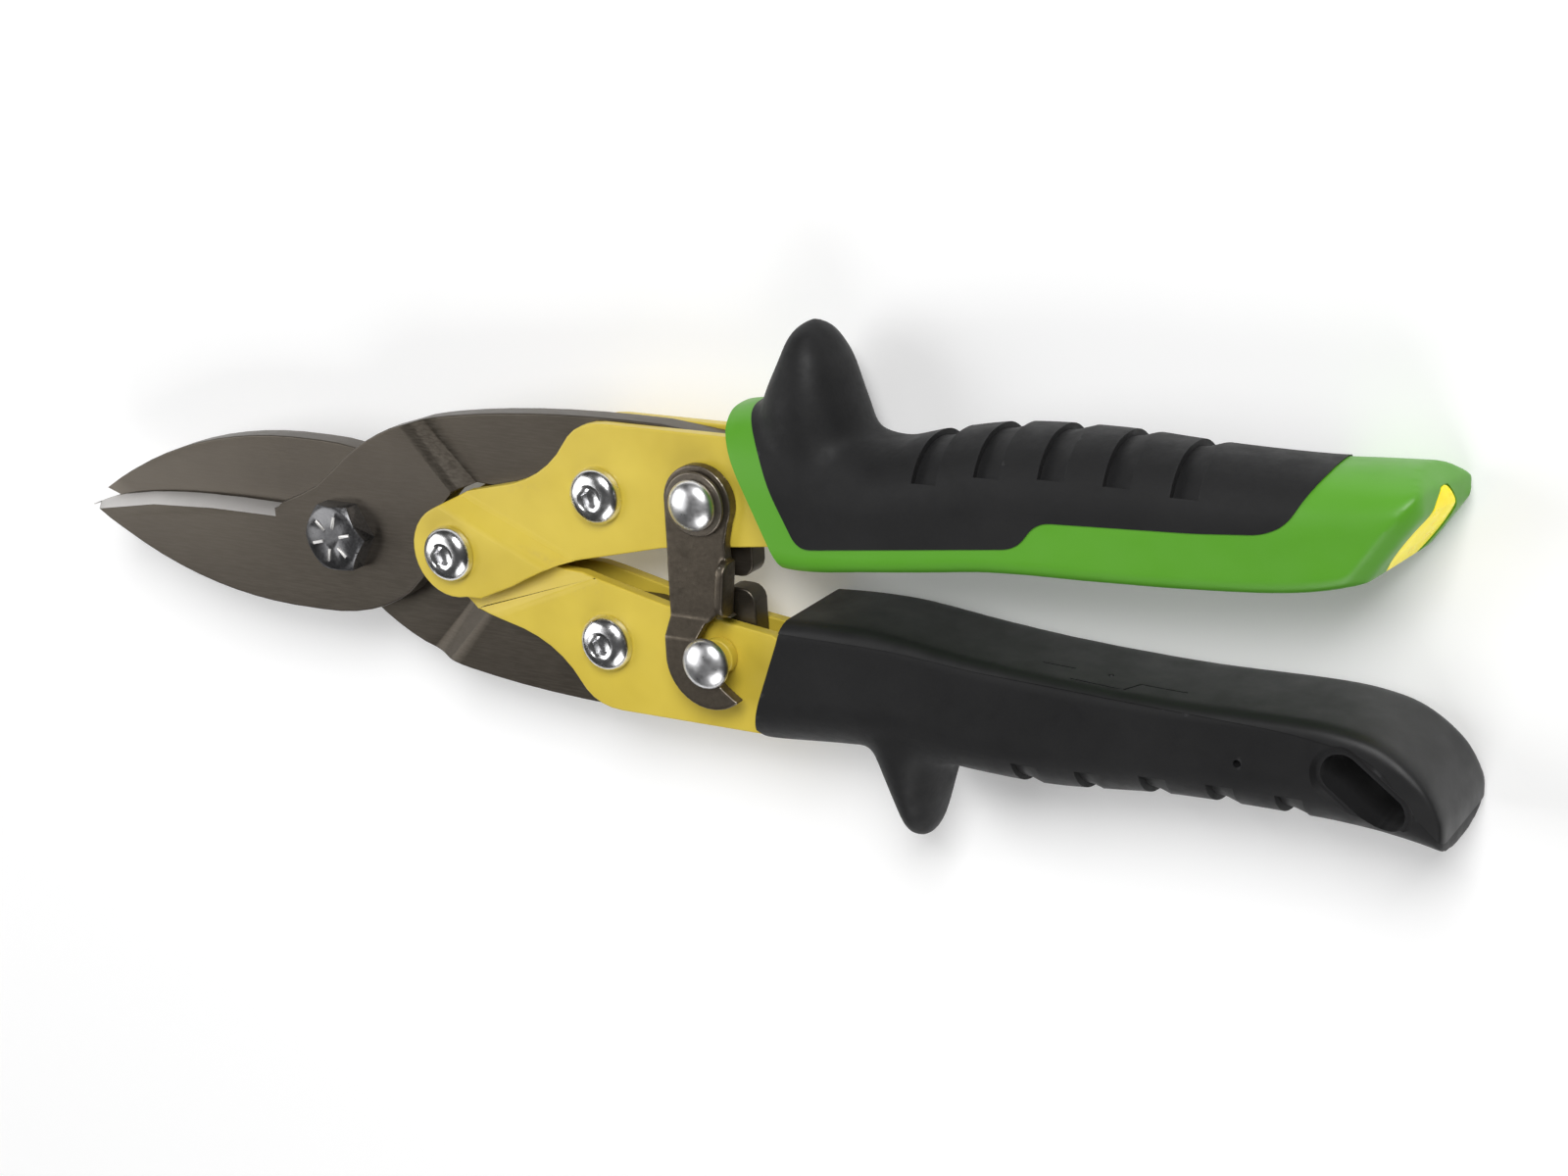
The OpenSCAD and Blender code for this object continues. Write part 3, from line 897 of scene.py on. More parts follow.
class Finishes:
    """Every finish of the tool, built once."""

    def __init__(self) -> None:
        """Builds the finishes."""
        self.coat = PowderCoat()
        self.blade = BrushedSteel("blade_oxide_steel", "blade_steel", (0.088, 0.075, 0.059),
                                  (0.062, 0.052, 0.041), (0.18, 0.16, 0.135), 0.38, 0.85)
        self.ground = BrushedSteel("ground_edge_steel", "blade_steel", (0.62, 0.60, 0.585),
                                   (0.50, 0.48, 0.465), (0.78, 0.77, 0.75), 0.4, 0.75,
                                   (10.0, 1.0, 10.0), 420.0)
        self.bolt = BrushedSteel("bolt_dark_steel", "bolt_steel", (0.17, 0.17, 0.175),
                                 (0.11, 0.11, 0.115), (0.34, 0.34, 0.34), 0.32, 0.92,
                                 (3.0, 3.0, 3.0), 700.0, rubbed=False)
        self.spring = BrushedSteel("oiled_spring_wire", "spring_steel", (0.36, 0.36, 0.37),
                                   (0.22, 0.22, 0.23), (0.6, 0.6, 0.6), 0.3, 0.95)
        self.latch = TumbledSteel()
        self.plating = Plating()
        self.dome = Plating("satin_plating", roughness=0.3)
        # Darker, warmer plating for the nuts and hidden bushes: painted shade from between the handles and a
        # painted warm reflection of the yellow plates.
        self.nut = Plating("dull_plating", "plated_steel", (0.42, 0.40, 0.37), (0.25, 0.22, 0.19), 0.26)
        self.green = MouldedPlastic("green_moulded_plastic", "green_plastic", (0.105, 0.36, 0.022),
                                    (0.09, 0.32, 0.018))
        self.black = MouldedPlastic("black_moulded_plastic", "black_plastic", (0.017, 0.017, 0.0175),
                                    (0.012, 0.012, 0.0125), 0.44, shine=0.34)
        self.rubber = SoftRubber()
        self.inlay = ClearInlay()
        kinds = (self.coat, self.blade, self.ground, self.bolt, self.spring, self.latch, self.plating,
                 self.dome, self.nut, self.green, self.black, self.rubber, self.inlay)
        self.built = {kind.name: kind.build() for kind in kinds}

    def dress(self, piece: bpy.types.Object, *kinds: Finish) -> None:
        """Gives a piece its finishes, the first of which is its main one.

        Args:
            piece: the object.
            kinds: the finishes, in the order of the piece's material slots.
        """
        piece.data.materials.clear()
        for kind in kinds:
            piece.data.materials.append(self.built[kind.name])


def fit(piece: bpy.types.Object, body: Body, node: str) -> None:
    """Makes a finished piece ride on its body and stand for its CAD node.

    Args:
        piece: the finished object.
        body: the body that it rides on.
        node: the CAD node that it replaces.
    """
    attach(piece, body.value)
    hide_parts(node)
    log.info("%s rides on %s: %d faces", piece.name, body.value, len(piece.data.polygons))


# ---------------------------------------------------------------- pressed and forged steel


@dataclass
class SteelShaper:
    """Takes a CAD node's exact shape and gives it the edges of real metal."""

    frame: dict[str, Any]
    finishes: Finishes
    flat_angle: float = 1.0
    smooth_angle: float = 40.0
    rim_faces: int = 2
    bend_faces: int = 5

    def shape(self, node: str, name: str, edge: float, bend: float = 0.0,
              keep_sharp: EdgeTest = lambda edge: False, bends: EdgeTest = is_bend) -> bpy.types.Object:
        """Copies a node, makes its flat faces whole again and rounds its edges.

        Args:
            node: the CAD node.
            name: the new piece's name.
            edge: the radius of its outer edges, in millimetres.
            bend: the radius of its bends, in millimetres, or 0 to leave them.
            keep_sharp: says which edges stay as sharp as the CAD has them.
            bends: says which slight edges are bends.

        Returns:
            The new piece.
        """
        piece = copied(self.frame["nodes"][node], name)
        merge_doubles(piece)
        begin_edit(piece)
        bpy.ops.mesh.dissolve_limited(angle_limit=math.radians(self.flat_angle))
        if bend:
            bevel_edges(piece, bend, self.bend_faces, BENDS, bends)
        bevel_edges(piece, edge, self.rim_faces, RIMS, lambda line: not keep_sharp(line))
        end_edit()
        merge_doubles(piece, NEARLY_SAME_SPOT)
        smooth_shading(piece, self.smooth_angle)
        apply_modifier(piece, "WEIGHTED_NORMAL", keep_sharp=True, weight=60)
        return piece


@dataclass
class Blades:
    """The two forged blades, each with a bright ground cutting edge."""

    layout: Layout
    shaper: SteelShaper
    edge_radius: float = 0.3
    bend_radius: float = 1.4
    jaw_root: float = -13.0
    sharp_from: float = -3.5
    ground_from: float = -3.0
    ground_to: float = 7.5
    ground_lean: float = 0.5
    ground_slant: float = 0.12
    tip_reach: float = 4.0
    point_land: float = 0.35

    def make(self) -> None:
        """Builds both blades."""
        root = self.layout.at(self.jaw_root, 0).x
        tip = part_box("front_blade")[0][0] + self.tip_reach * MM

        def is_cutting(edge: bmesh.types.BMEdge) -> bool:
            """Whether an edge belongs to the jaw's cutting side or its tip, which stay sharp."""
            spot = (edge.verts[0].co + edge.verts[1].co) / 2
            on_jaw = spot.x < root and self.across(spot, side) > self.sharp_from
            return on_jaw or min(v.co.x for v in edge.verts) < tip

        def is_joggle(edge: bmesh.types.BMEdge) -> bool:
            """Whether an edge is a bend of the blade's tail."""
            return is_bend(edge) and min(v.co.x for v in edge.verts) > root

        finishes = self.shaper.finishes
        for node, body, side in (("front_blade", Body.FRONT_BLADE, Side.UP),
                                 ("rear_blade", Body.REAR_BLADE, Side.DOWN)):
            piece = self.shaper.shape(node, f"{node}_forged", self.edge_radius, self.bend_radius,
                                      keep_sharp=is_cutting, bends=is_joggle)
            finishes.dress(piece, finishes.blade, finishes.ground)
            self.grind(piece, side)
            fit(piece, body, node)

    def across(self, spot: Vector, side: Side) -> float:
        """How far a spot lies from the main pivot towards a jaw's cutting side, in millimetres."""
        return (spot.y - self.layout.origin.y) / MM * side.value

    def grind(self, piece: bpy.types.Object, side: Side) -> None:
        """Gives the ground finish to the cutting bevel.

        Args:
            piece: the blade.
            side: the way its cutting edge faces.
        """
        root = self.layout.at(self.jaw_root, 0).x
        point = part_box("front_blade")[0][0] + self.point_land * MM

        def is_ground(spot: Vector, normal: Vector) -> bool:
            """Whether a face belongs to the ground bevel or to the narrow land at the jaw's point."""
            slanted = normal.y * side.value > self.ground_lean and abs(normal.z) > self.ground_slant
            on_bevel = spot.x < root and self.ground_from < self.across(spot, side) < self.ground_to
            return spot.x < point or (on_bevel and slanted)

        give_second_finish(piece, is_ground)


@dataclass
class HandlePlates:
    """The four stamped and coated handle plates, and the boss under the keeper rivet."""

    shaper: SteelShaper
    edge_radius: float = 0.3
    bend_radius: float = 0.7

    def make(self) -> None:
        """Builds the plates and the boss."""
        finishes = self.shaper.finishes
        for node, name, body, bend in (
                ("upper_front_plate", "upper_front_plate_pressed", Body.UPPER, self.bend_radius),
                ("upper_rear_plate", "upper_rear_plate_pressed", Body.UPPER, self.bend_radius),
                ("lower_front_plate", "lower_front_plate_pressed", Body.LOWER, self.bend_radius),
                ("lower_rear_plate", "lower_rear_plate_pressed", Body.LOWER, self.bend_radius),
                ("keeper_spacer", "keeper_boss", Body.LOWER, 0.0)):
            piece = self.shaper.shape(node, name, self.edge_radius, bend)
            finishes.dress(piece, finishes.coat)
            fit(piece, body, node)


# ---------------------------------------------------------------- fasteners


@dataclass
class Fasteners:
    """Screws, nuts and rivets: turned heads and eased hexagons."""

    shaper: SteelShaper
    faces_round: int = 72
    smooth_angle: float = 40.0
    shank_radius: float = 2.5
    shank_chamfer: float = 0.4
    head_radius: float = 4.75
    head_height: float = 2.6
    head_rim: float = 0.55
    head_chamfer: float = 0.2
    mouth_radius: float = 2.35
    mouth_slope: float = 0.35
    mouth_sink: float = 0.28
    socket_radius: float = 1.73
    socket_depth: float = 1.7
    socket_turn: float = 20.0
    socket_edge: float = 0.08
    nut_edge: float = 0.18
    bolt_smooth_angle: float = 20.0
    mark_skin: float = 0.15
    dome_radius: float = 4.2
    dome_height: float = 2.6
    dome_rim: float = 0.35
    keeper_shank_radius: float = 1.2
    washer_edge: float = 0.3

    def make(self) -> None:
        """Builds every fastener."""
        self.make_screws()
        self.make_nuts()
        self.make_main_bolt()
        self.make_rivets()
        self.make_washer()

    def make_screws(self) -> None:
        """Builds the three button-head screws, each with its shank and its hexagon socket."""
        finishes = self.shaper.finishes
        for node, body in (("handle_pivot_screw", Body.LOWER), ("upper_link_screw", Body.UPPER),
                           ("lower_link_screw", Body.LOWER)):
            foot, top = standing(node)
            screw = turned(f"{node}_turned", foot, self.screw_profile(top), self.faces_round)
            floor = foot + Vector((0, 0, top - self.socket_depth)) * MM
            socket = prism("socket", floor, self.socket_radius, self.head_height, 6, self.socket_turn)
            carve(screw, socket, solver=Solver.FACES)
            ease_edges(screw, self.socket_edge, 2)
            smooth_shading(screw, self.smooth_angle)
            finishes.dress(screw, finishes.plating)
            fit(screw, body, node)

    def screw_profile(self, top: float) -> list[Point2]:
        """The half outline of a button-head screw, from the shank's end to the middle of its head.

        Args:
            top: how high the screw is, in millimetres.

        Returns:
            Radius and height of each point.
        """
        seat, mouth = top - self.head_height, top - self.mouth_sink
        crown = quarter_round((self.mouth_radius, seat + self.head_rim),
                              self.head_radius - self.mouth_radius, self.head_height - self.head_rim, 9)
        return [(0, 0), (self.shank_radius - self.shank_chamfer, 0), (self.shank_radius, self.shank_chamfer),
                (self.shank_radius, seat), (self.head_radius - self.head_chamfer, seat),
                (self.head_radius, seat + self.head_chamfer), *crown,
                (self.mouth_radius - self.mouth_slope, mouth), (0, mouth)]

    def make_nuts(self) -> None:
        """Builds the lock nuts and the main bolt's nut from their CAD shapes, with eased corners."""
        finishes = self.shaper.finishes
        for node, body, finish in (("handle_pivot_nut", Body.LOWER, finishes.nut),
                                   ("upper_link_nut", Body.UPPER, finishes.nut),
                                   ("lower_link_nut", Body.LOWER, finishes.nut),
                                   ("pivot_nut", Body.REAR_BLADE, finishes.bolt)):
            nut = self.shaper.shape(node, f"{node}_eased", self.nut_edge)
            finishes.dress(nut, finish)
            fit(nut, body, node)

    def make_main_bolt(self) -> None:
        """Builds the main pivot bolt from its CAD shape, with bright tops on its raised marks."""
        finishes = self.shaper.finishes
        bolt = copied(self.shaper.frame["nodes"]["pivot_bolt"], "pivot_bolt_cut")
        merge_doubles(bolt)
        smooth_shading(bolt, self.bolt_smooth_angle)
        finishes.dress(bolt, finishes.bolt, finishes.ground)
        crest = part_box("pivot_bolt")[1][2] - self.mark_skin * MM
        give_second_finish(bolt, lambda spot, normal: spot.z > crest)
        fit(bolt, Body.REAR_BLADE, "pivot_bolt")

    def make_rivets(self) -> None:
        """Builds the latch rivet and the keeper rivet with their domed heads."""
        finishes = self.shaper.finishes
        for node, body, shank in (("latch_rivet", Body.UPPER, self.shank_radius),
                                  ("keeper_rivet", Body.LOWER, self.keeper_shank_radius)):
            foot, top = standing(node)
            seat = top - self.dome_height
            dome = quarter_round((0, seat + self.dome_rim), self.dome_radius,
                                 self.dome_height - self.dome_rim, 6)
            profile = [(0, 0), (shank, 0), (shank, seat), (self.dome_radius - self.dome_rim, seat), *dome]
            rivet = turned(f"{node}_turned", foot, profile, self.faces_round)
            smooth_shading(rivet, self.smooth_angle)
            finishes.dress(rivet, finishes.dome)
            fit(rivet, body, node)

    def make_washer(self) -> None:
        """Builds the washer under the latch rivet's head."""
        finishes = self.shaper.finishes
        washer = self.shaper.shape("latch_washer", "latch_washer_eased", self.washer_edge)
        finishes.dress(washer, finishes.latch)
        fit(washer, Body.UPPER, "latch_washer")


# ---------------------------------------------------------------- latch and spring


@dataclass
class Latch:
    """The tumbled latch plate with its hook and its turned-up thumb flange."""

    layout: Layout
    shaper: SteelShaper
    voxel: float = 0.17
    tumbling: int = 8
    smooth_angle: float = 60.0
    flange_at: Point2 = (79.1, 0.3)
    flange_turn: float = -6.3
    flange_thick: float = 1.7
    flange_width: float = 9.4
    flange_rise: float = 2.2
    flange_root: float = 1.8
    flange_edge: float = 0.4
    lobe_radius: float = 2.1
    old_flange_half: Point2 = (3.0, 6.0)
    above: float = 2.0
    through: float = 40.0
    mouth_trim: Sequence[Point2] = ((75.6, -5.95), (77.0, -4.6), (84, -4.6), (84, -9), (75.6, -9))

    def make(self) -> None:
        """Builds the latch plate: the turned-up flange is made anew and every edge is tumbled round."""
        finishes = self.shaper.finishes
        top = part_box("latch_plate")[1][2] / MM
        face = top - self.flange_rise
        base = self.layout.origin.z / MM
        (x, y), (dx, dy) = self.flange_at, self.old_flange_half
        old = [(x - dx, y - dy), (x + dx, y - dy), (x + dx, y + dy), (x - dx, y + dy)]
        piece = copied(self.shaper.frame["nodes"]["latch_plate"], "latch_plate_tumbled")
        merge_doubles(piece)
        for name, outline, low, high in (("old_flange", old, face - base, top - base + self.above),
                                         ("mouth_corner", self.mouth_trim, -self.through, self.through)):
            carve(piece, slab(name, self.layout, outline, low, high), solver=Solver.FACES)
        pick(piece, self.flange(face - self.flange_root, top))
        bpy.ops.object.join()
        apply_modifier(piece, "REMESH", mode="VOXEL", voxel_size=self.voxel * MM, adaptivity=0.0)
        apply_modifier(piece, "SMOOTH", factor=0.5, iterations=self.tumbling)
        smooth_shading(piece, self.smooth_angle)
        finishes.dress(piece, finishes.latch)
        fit(piece, Body.LATCH, "latch_plate")

    def flange(self, low: float, top: float) -> bpy.types.Object:
        """Builds the thumb flange: a block with two round lobes and soft edges.

        Args:
            low: the height of its root, in millimetres.
            top: the height of its crest.

        Returns:
            The flange.
        """
        clear_selection()
        bpy.ops.mesh.primitive_cube_add(size=1)
        flange = bpy.context.object
        flange.name = "thumb_flange"
        flange.scale = Vector((self.flange_thick, self.flange_width, top - low)) * MM
        settle(flange)

        def is_lobe(edge: bmesh.types.BMEdge) -> bool:
            """Whether an edge is one of the crest's two short ones, which become the lobes."""
            here, there = (v.co for v in edge.verts)
            return here.z > 0 and there.z > 0 and abs(here.y - there.y) < SAME_SPOT

        begin_edit(flange)
        bevel_edges(flange, self.lobe_radius, 8, RIMS, is_lobe)
        bevel_edges(flange, self.flange_edge, 3, RIMS)
        end_edit()
        flange.rotation_euler = (0, 0, math.radians(self.flange_turn))
        flange.location = self.layout.at(*self.flange_at)
        flange.location.z = (low + top) / 2 * MM
        return settle(flange)


@dataclass
class ReturnSpring:
    """The torsion spring round the handle pivot, which on the real tool twists as the handles open."""

    layout: Layout
    finishes: Finishes
    wire: float = 1.0
    coil_radius: float = 4.85
    coil_turns: int = 2
    pitch: float = 1.1
    leg_length: float = 17.2
    leg_slope: float = 6.0
    steps: int = 96
    blend_reach: float = 3.0
    smooth_angle: float = 50.0

    def path(self) -> list[Vector]:
        """The wire's middle line, leg to leg.

        Returns:
            Its points, in metres.
        """
        rise = self.pitch * self.coil_turns
        sweep = 360 * self.coil_turns + 180 + 2 * self.leg_slope

        def on_coil(t: float) -> Vector:
            """A point a share t along the coil."""
            turn = math.radians(90 + self.leg_slope - t * sweep)
            return Vector((self.coil_radius * math.cos(turn), self.coil_radius * math.sin(turn),
                           rise * (t - 0.5)))

        def leg_end(start: Vector, side: int) -> Vector:
            """The far end of the leg that leaves the coil at start."""
            slope = math.radians(side * self.leg_slope)
            return start + Vector((math.cos(slope), math.sin(slope), 0)) * self.leg_length

        points = [on_coil(i / self.steps) for i in range(self.steps + 1)]
        points = [leg_end(points[0], 1), *points, leg_end(points[-1], -1)]
        return [self.layout.handle_pivot + p * MM for p in points]

    def make(self) -> None:
        """Sweeps the wire along its path; the wire is set in place once and rides on no handle."""
        spring = draw_points("return_spring_wire", self.path())
        pick(spring)
        bpy.ops.object.convert(target="CURVE")
        spring = bpy.context.object
        spring.data.bevel_depth = self.wire / 2 * MM
        spring.data.bevel_resolution = 3
        spring.data.use_fill_caps = True
        bpy.ops.object.convert(target="MESH")
        spring = settle(bpy.context.object)
        face_outwards(spring)
        smooth_shading(spring, self.smooth_angle)
        self.finishes.dress(spring, self.finishes.spring)
        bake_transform(spring)
        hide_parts("return_spring")
        log.info("%s twists between the handles: %d faces", spring.name, len(spring.data.polygons))


# ---------------------------------------------------------------- grips


@dataclass
class Grip:
    """What both grips share: a lofted body, a thumb guard and scale-shaped finger notches.

    A station is x, the inner edge's y and the outer edge's y. A guard level is y, the guard's middle x,
    its half length along the tool and its half width. An outline is seen from the latch side. A notch's
    bend is where its floor bends, as a share of its run, and how deep it is there, as a share of its depth.
    """

    layout: Layout
    finishes: Finishes
    name: str = ""
    side: Side = Side.UP
    body: Body = Body.UPPER
    stations: Sequence[Row] = ()
    guard_levels: Sequence[Row] = ()
    guard_reach: Point2 = (0.0, 0.0)
    front: Sequence[Point2] = ()
    tang: Sequence[Point2] = ()
    first_notch: float = 0.0
    notch_gap: float = 0.0
    notch_count: int = 5
    thickness: float = 21.0
    inner_round: float = 2.6
    outer_round: float = 9.6
    corner_faces: int = 10
    ring_gap: float = 1.3
    voxel: float = 0.5
    proud: float = 0.22
    notch_depth: float = 0.85
    notch_run: float = 4.2
    notch_half_angle: float = 62.0
    notch_tail: float = 0.15
    notch_bend: Point2 = (0.35, 0.8)
    notch_over: float = 3.0
    notch_faces: int = 28
    guard_faces: int = 48
    guard_steps: int = 14
    guard_least: float = 0.25
    foot_from: float = 15.0
    foot_fade: float = 6.0
    foot_passes: int = 70
    butt_from: float = 181.0
    butt_passes: int = 12
    skin_passes: int = 5
    fade: float = 4.0
    through: float = 40.0

    def loft(self) -> bpy.types.Object:
        """Builds the body: a rounded section is extruded from station to station.

        Returns:
            The body, closed.
        """
        first, last = self.stations[0][0], self.stations[-1][0]
        count = round((last - first) / self.ring_gap)
        marks = [first + (last - first) * i / count for i in range(count + 1)]
        inner, outer = follow(self.stations, marks[0])
        middle, width = (inner + outer) / 2, abs(outer - inner)
        clear_selection()
        bpy.ops.mesh.primitive_plane_add(size=1, location=self.layout.at(marks[0], middle),
                                         rotation=(0, math.pi / 2, 0))
        bpy.ops.object.transform_apply(location=False)
        body = bpy.context.object
        body.name = f"{self.name}_body"
        begin_edit(body)
        bpy.ops.transform.resize(value=(1, width * MM, self.thickness * MM),
                                 center_override=self.layout.at(marks[0], middle))
        self.round_corners(body, self.side.value, self.outer_round)
        self.round_corners(body, -self.side.value, self.inner_round)
        bpy.ops.mesh.select_all(action="SELECT")
        for before, here in zip(marks, marks[1:]):
            inner, outer = follow(self.stations, here)
            shift = (inner + outer) / 2 - middle
            bpy.ops.mesh.extrude_region_move(
                TRANSFORM_OT_translate={"value": ((here - before) * MM, shift * MM, 0)})
            bpy.ops.transform.resize(value=(1, abs(outer - inner) / width, 1),
                                     center_override=self.layout.at(here, middle + shift))
            middle, width = middle + shift, abs(outer - inner)
        end_edit()
        settle(body)
        face_outwards(body)
        return body

    def round_corners(self, body: bpy.types.Object, way: int, radius: float) -> None:
        """Rounds the two corners of the first section that lie furthest one way across the tool.

        Args:
            body: the piece, in edit mode.
            way: 1 or -1, towards the upper or the lower handle.
            radius: their radius, in millimetres.
        """
        bpy.ops.mesh.select_mode(type="VERT")
        sheet = bmesh.from_edit_mesh(body.data)
        corners = sorted(sheet.verts, key=lambda v: v.co.y * way)
        for vertex in sheet.verts:
            vertex.select_set(False)
        for vertex in corners[-2:]:
            vertex.select_set(True)
        sheet.select_flush_mode()
        bmesh.update_edit_mesh(body.data)
        bpy.ops.mesh.bevel(offset=radius * MM, segments=self.corner_faces, affect="VERTICES",
                           clamp_overlap=True)

    def guard(self) -> bpy.types.Object:
        """Builds the thumb guard: an oval is extruded level by level to its crest.

        Returns:
            The guard, closed.
        """
        level, x, length, width = self.guard_levels[0]
        clear_selection()
        bpy.ops.mesh.primitive_circle_add(vertices=self.guard_faces, radius=1, fill_type="NGON",
                                          location=self.layout.at(x, level),
                                          rotation=(math.pi / 2, 0, 0))
        bpy.ops.object.transform_apply(location=False)
        guard = bpy.context.object
        guard.name = f"{self.name}_guard"
        begin_edit(guard)
        bpy.ops.transform.resize(value=(length * MM, 1, width * MM),
                                 center_override=self.layout.at(x, level))
        start, end = self.guard_levels[0][0], self.guard_levels[-1][0]
        rising = [(row[0] * self.side.value, *row[1:]) for row in self.guard_levels]
        for i in range(1, self.guard_steps + 1):
            here = start + (end - start) * i / self.guard_steps
            new_x, *sizes = follow(rising, here * self.side.value)
            new_length, new_width = (max(size, self.guard_least) for size in sizes)
            bpy.ops.mesh.extrude_region_move(
                TRANSFORM_OT_translate={"value": ((new_x - x) * MM, (here - level) * MM, 0)})
            bpy.ops.transform.resize(value=(new_length / length, 1, new_width / width),
                                     center_override=self.layout.at(new_x, here))
            level, x, length, width = here, new_x, new_length, new_width
        end_edit()
        settle(guard)
        face_outwards(guard)
        return guard

    def flow_together(self, body: bpy.types.Object, guard: bpy.types.Object) -> None:
        """Makes body and guard one skin, with a soft hollow where they meet.

        Args:
            body: the lofted body, which becomes the whole.
            guard: the thumb guard, which is used up.
        """
        pick(body, guard)
        bpy.ops.object.join()
        apply_modifier(body, "REMESH", mode="VOXEL", voxel_size=self.voxel * MM, adaptivity=0.0)
        near, far = (self.layout.at(x, 0).x for x in self.guard_reach)
        butt = self.layout.at(self.butt_from, 0).x

        def guard_foot(spot: Vector) -> float:
            """How much a spot belongs to the hollow round the guard's foot."""
            inside = min(spot.x - near, far - spot.x) / (self.fade * MM)
            outward = (spot.y - self.layout.origin.y) / MM * self.side.value
            return share(inside) * share((outward - self.foot_from) / self.foot_fade)

        def butt_rim(spot: Vector) -> float:
            """How much a spot belongs to the butt."""
            return share((spot.x - butt) / (self.fade * MM))

        self.weigh(body, "guard_foot", guard_foot)
        self.weigh(body, "butt_rim", butt_rim)
        for passes, group in ((self.foot_passes, "guard_foot"), (self.butt_passes, "butt_rim"),
                              (self.skin_passes, "")):
            apply_modifier(body, "SMOOTH", factor=0.5, iterations=passes, vertex_group=group)

    @staticmethod
    def weigh(body: bpy.types.Object, name: str, weight: Callable[[Vector], float]) -> None:
        """Makes a vertex group that holds each spot by its weight.

        Args:
            body: the piece.
            name: the group's name.
            weight: takes a spot and gives its weight, from 0 to 1.
        """
        group = body.vertex_groups.new(name=name)
        for vertex in body.data.vertices:
            here = weight(vertex.co)
            if here > 0:
                group.add([vertex.index], here, "REPLACE")

    def cut_notches(self, soft: bpy.types.Object) -> None:
        """Cuts the scale-shaped notches round the outer side: sharp in front and running out behind.

        Args:
            soft: the overmould.
        """
        for i in range(self.notch_count):
            x = self.first_notch + self.notch_gap * i
            outer = follow(self.stations, x)[1]
            radius = self.thickness / 2
            carve(soft, self.notch_cutter(x, outer - self.side.value * radius, radius))

    def notch_cutter(self, x: float, centre_y: float, radius: float) -> bpy.types.Object:
        """Builds one notch's cutter: a wedge spun about the grip's length.

        Args:
            x: where the notch's sharp edge is.
            centre_y: where the section's round side has its centre.
            radius: the radius of that side.

        Returns:
            The cutter, closed.
        """
        skin = radius + self.proud
        along, deep = self.notch_bend
        end, top = x + self.notch_run, skin + self.notch_over
        wedge = [(x, skin - self.notch_depth),
                 (x + self.notch_run * along, skin - self.notch_depth * deep),
                 (end, skin + self.notch_tail), (end, top), (x, top)]
        start = -math.radians(self.notch_half_angle)
        cosine, sine = math.cos(start), math.sin(start)
        points = [self.layout.at(px, centre_y + self.side.value * r * cosine, r * sine) for px, r in wedge]
        cutter = draw_points("notch", points)
        begin_edit(cutter)
        bpy.ops.mesh.edge_face_add()
        bpy.ops.mesh.spin(steps=self.notch_faces, angle=-2 * math.radians(self.notch_half_angle),
                          center=self.layout.at(x, centre_y), axis=(self.side.value, 0, 0))
        bpy.ops.mesh.select_all(action="DESELECT")
        bpy.ops.mesh.select_non_manifold()
        bpy.ops.mesh.fill_holes(sides=0)
        end_edit()
        face_outwards(cutter)
        return cutter

    def zone(self, name: str, outline: Sequence[Point2]) -> bpy.types.Object:
        """A tool that cuts an outline through the whole grip."""
        return slab(name, self.layout, outline, -self.through, self.through)

    def pocket(self) -> bpy.types.Object:
        """A tool that cuts the pocket which the plates' tangs stand in."""
        half = standing(f"{self.name.split('_')[0]}_tang_rivets")[1] / 2
        return slab("tang_pocket", self.layout, self.tang, -half, half)

    def finish(self, piece: bpy.types.Object, finish: Finish, part: str, angle: float) -> None:
        """Shades a part of the grip and puts it on its handle.

        Args:
            piece: the finished part.
            finish: its finish.
            part: its CAD node's name without the grip's own.
            angle: the sharpest angle that still looks round, in degrees.
        """
        smooth_shading(piece, angle)
        self.finishes.dress(piece, finish)
        fit(piece, self.body, f"{self.name}_{part}")


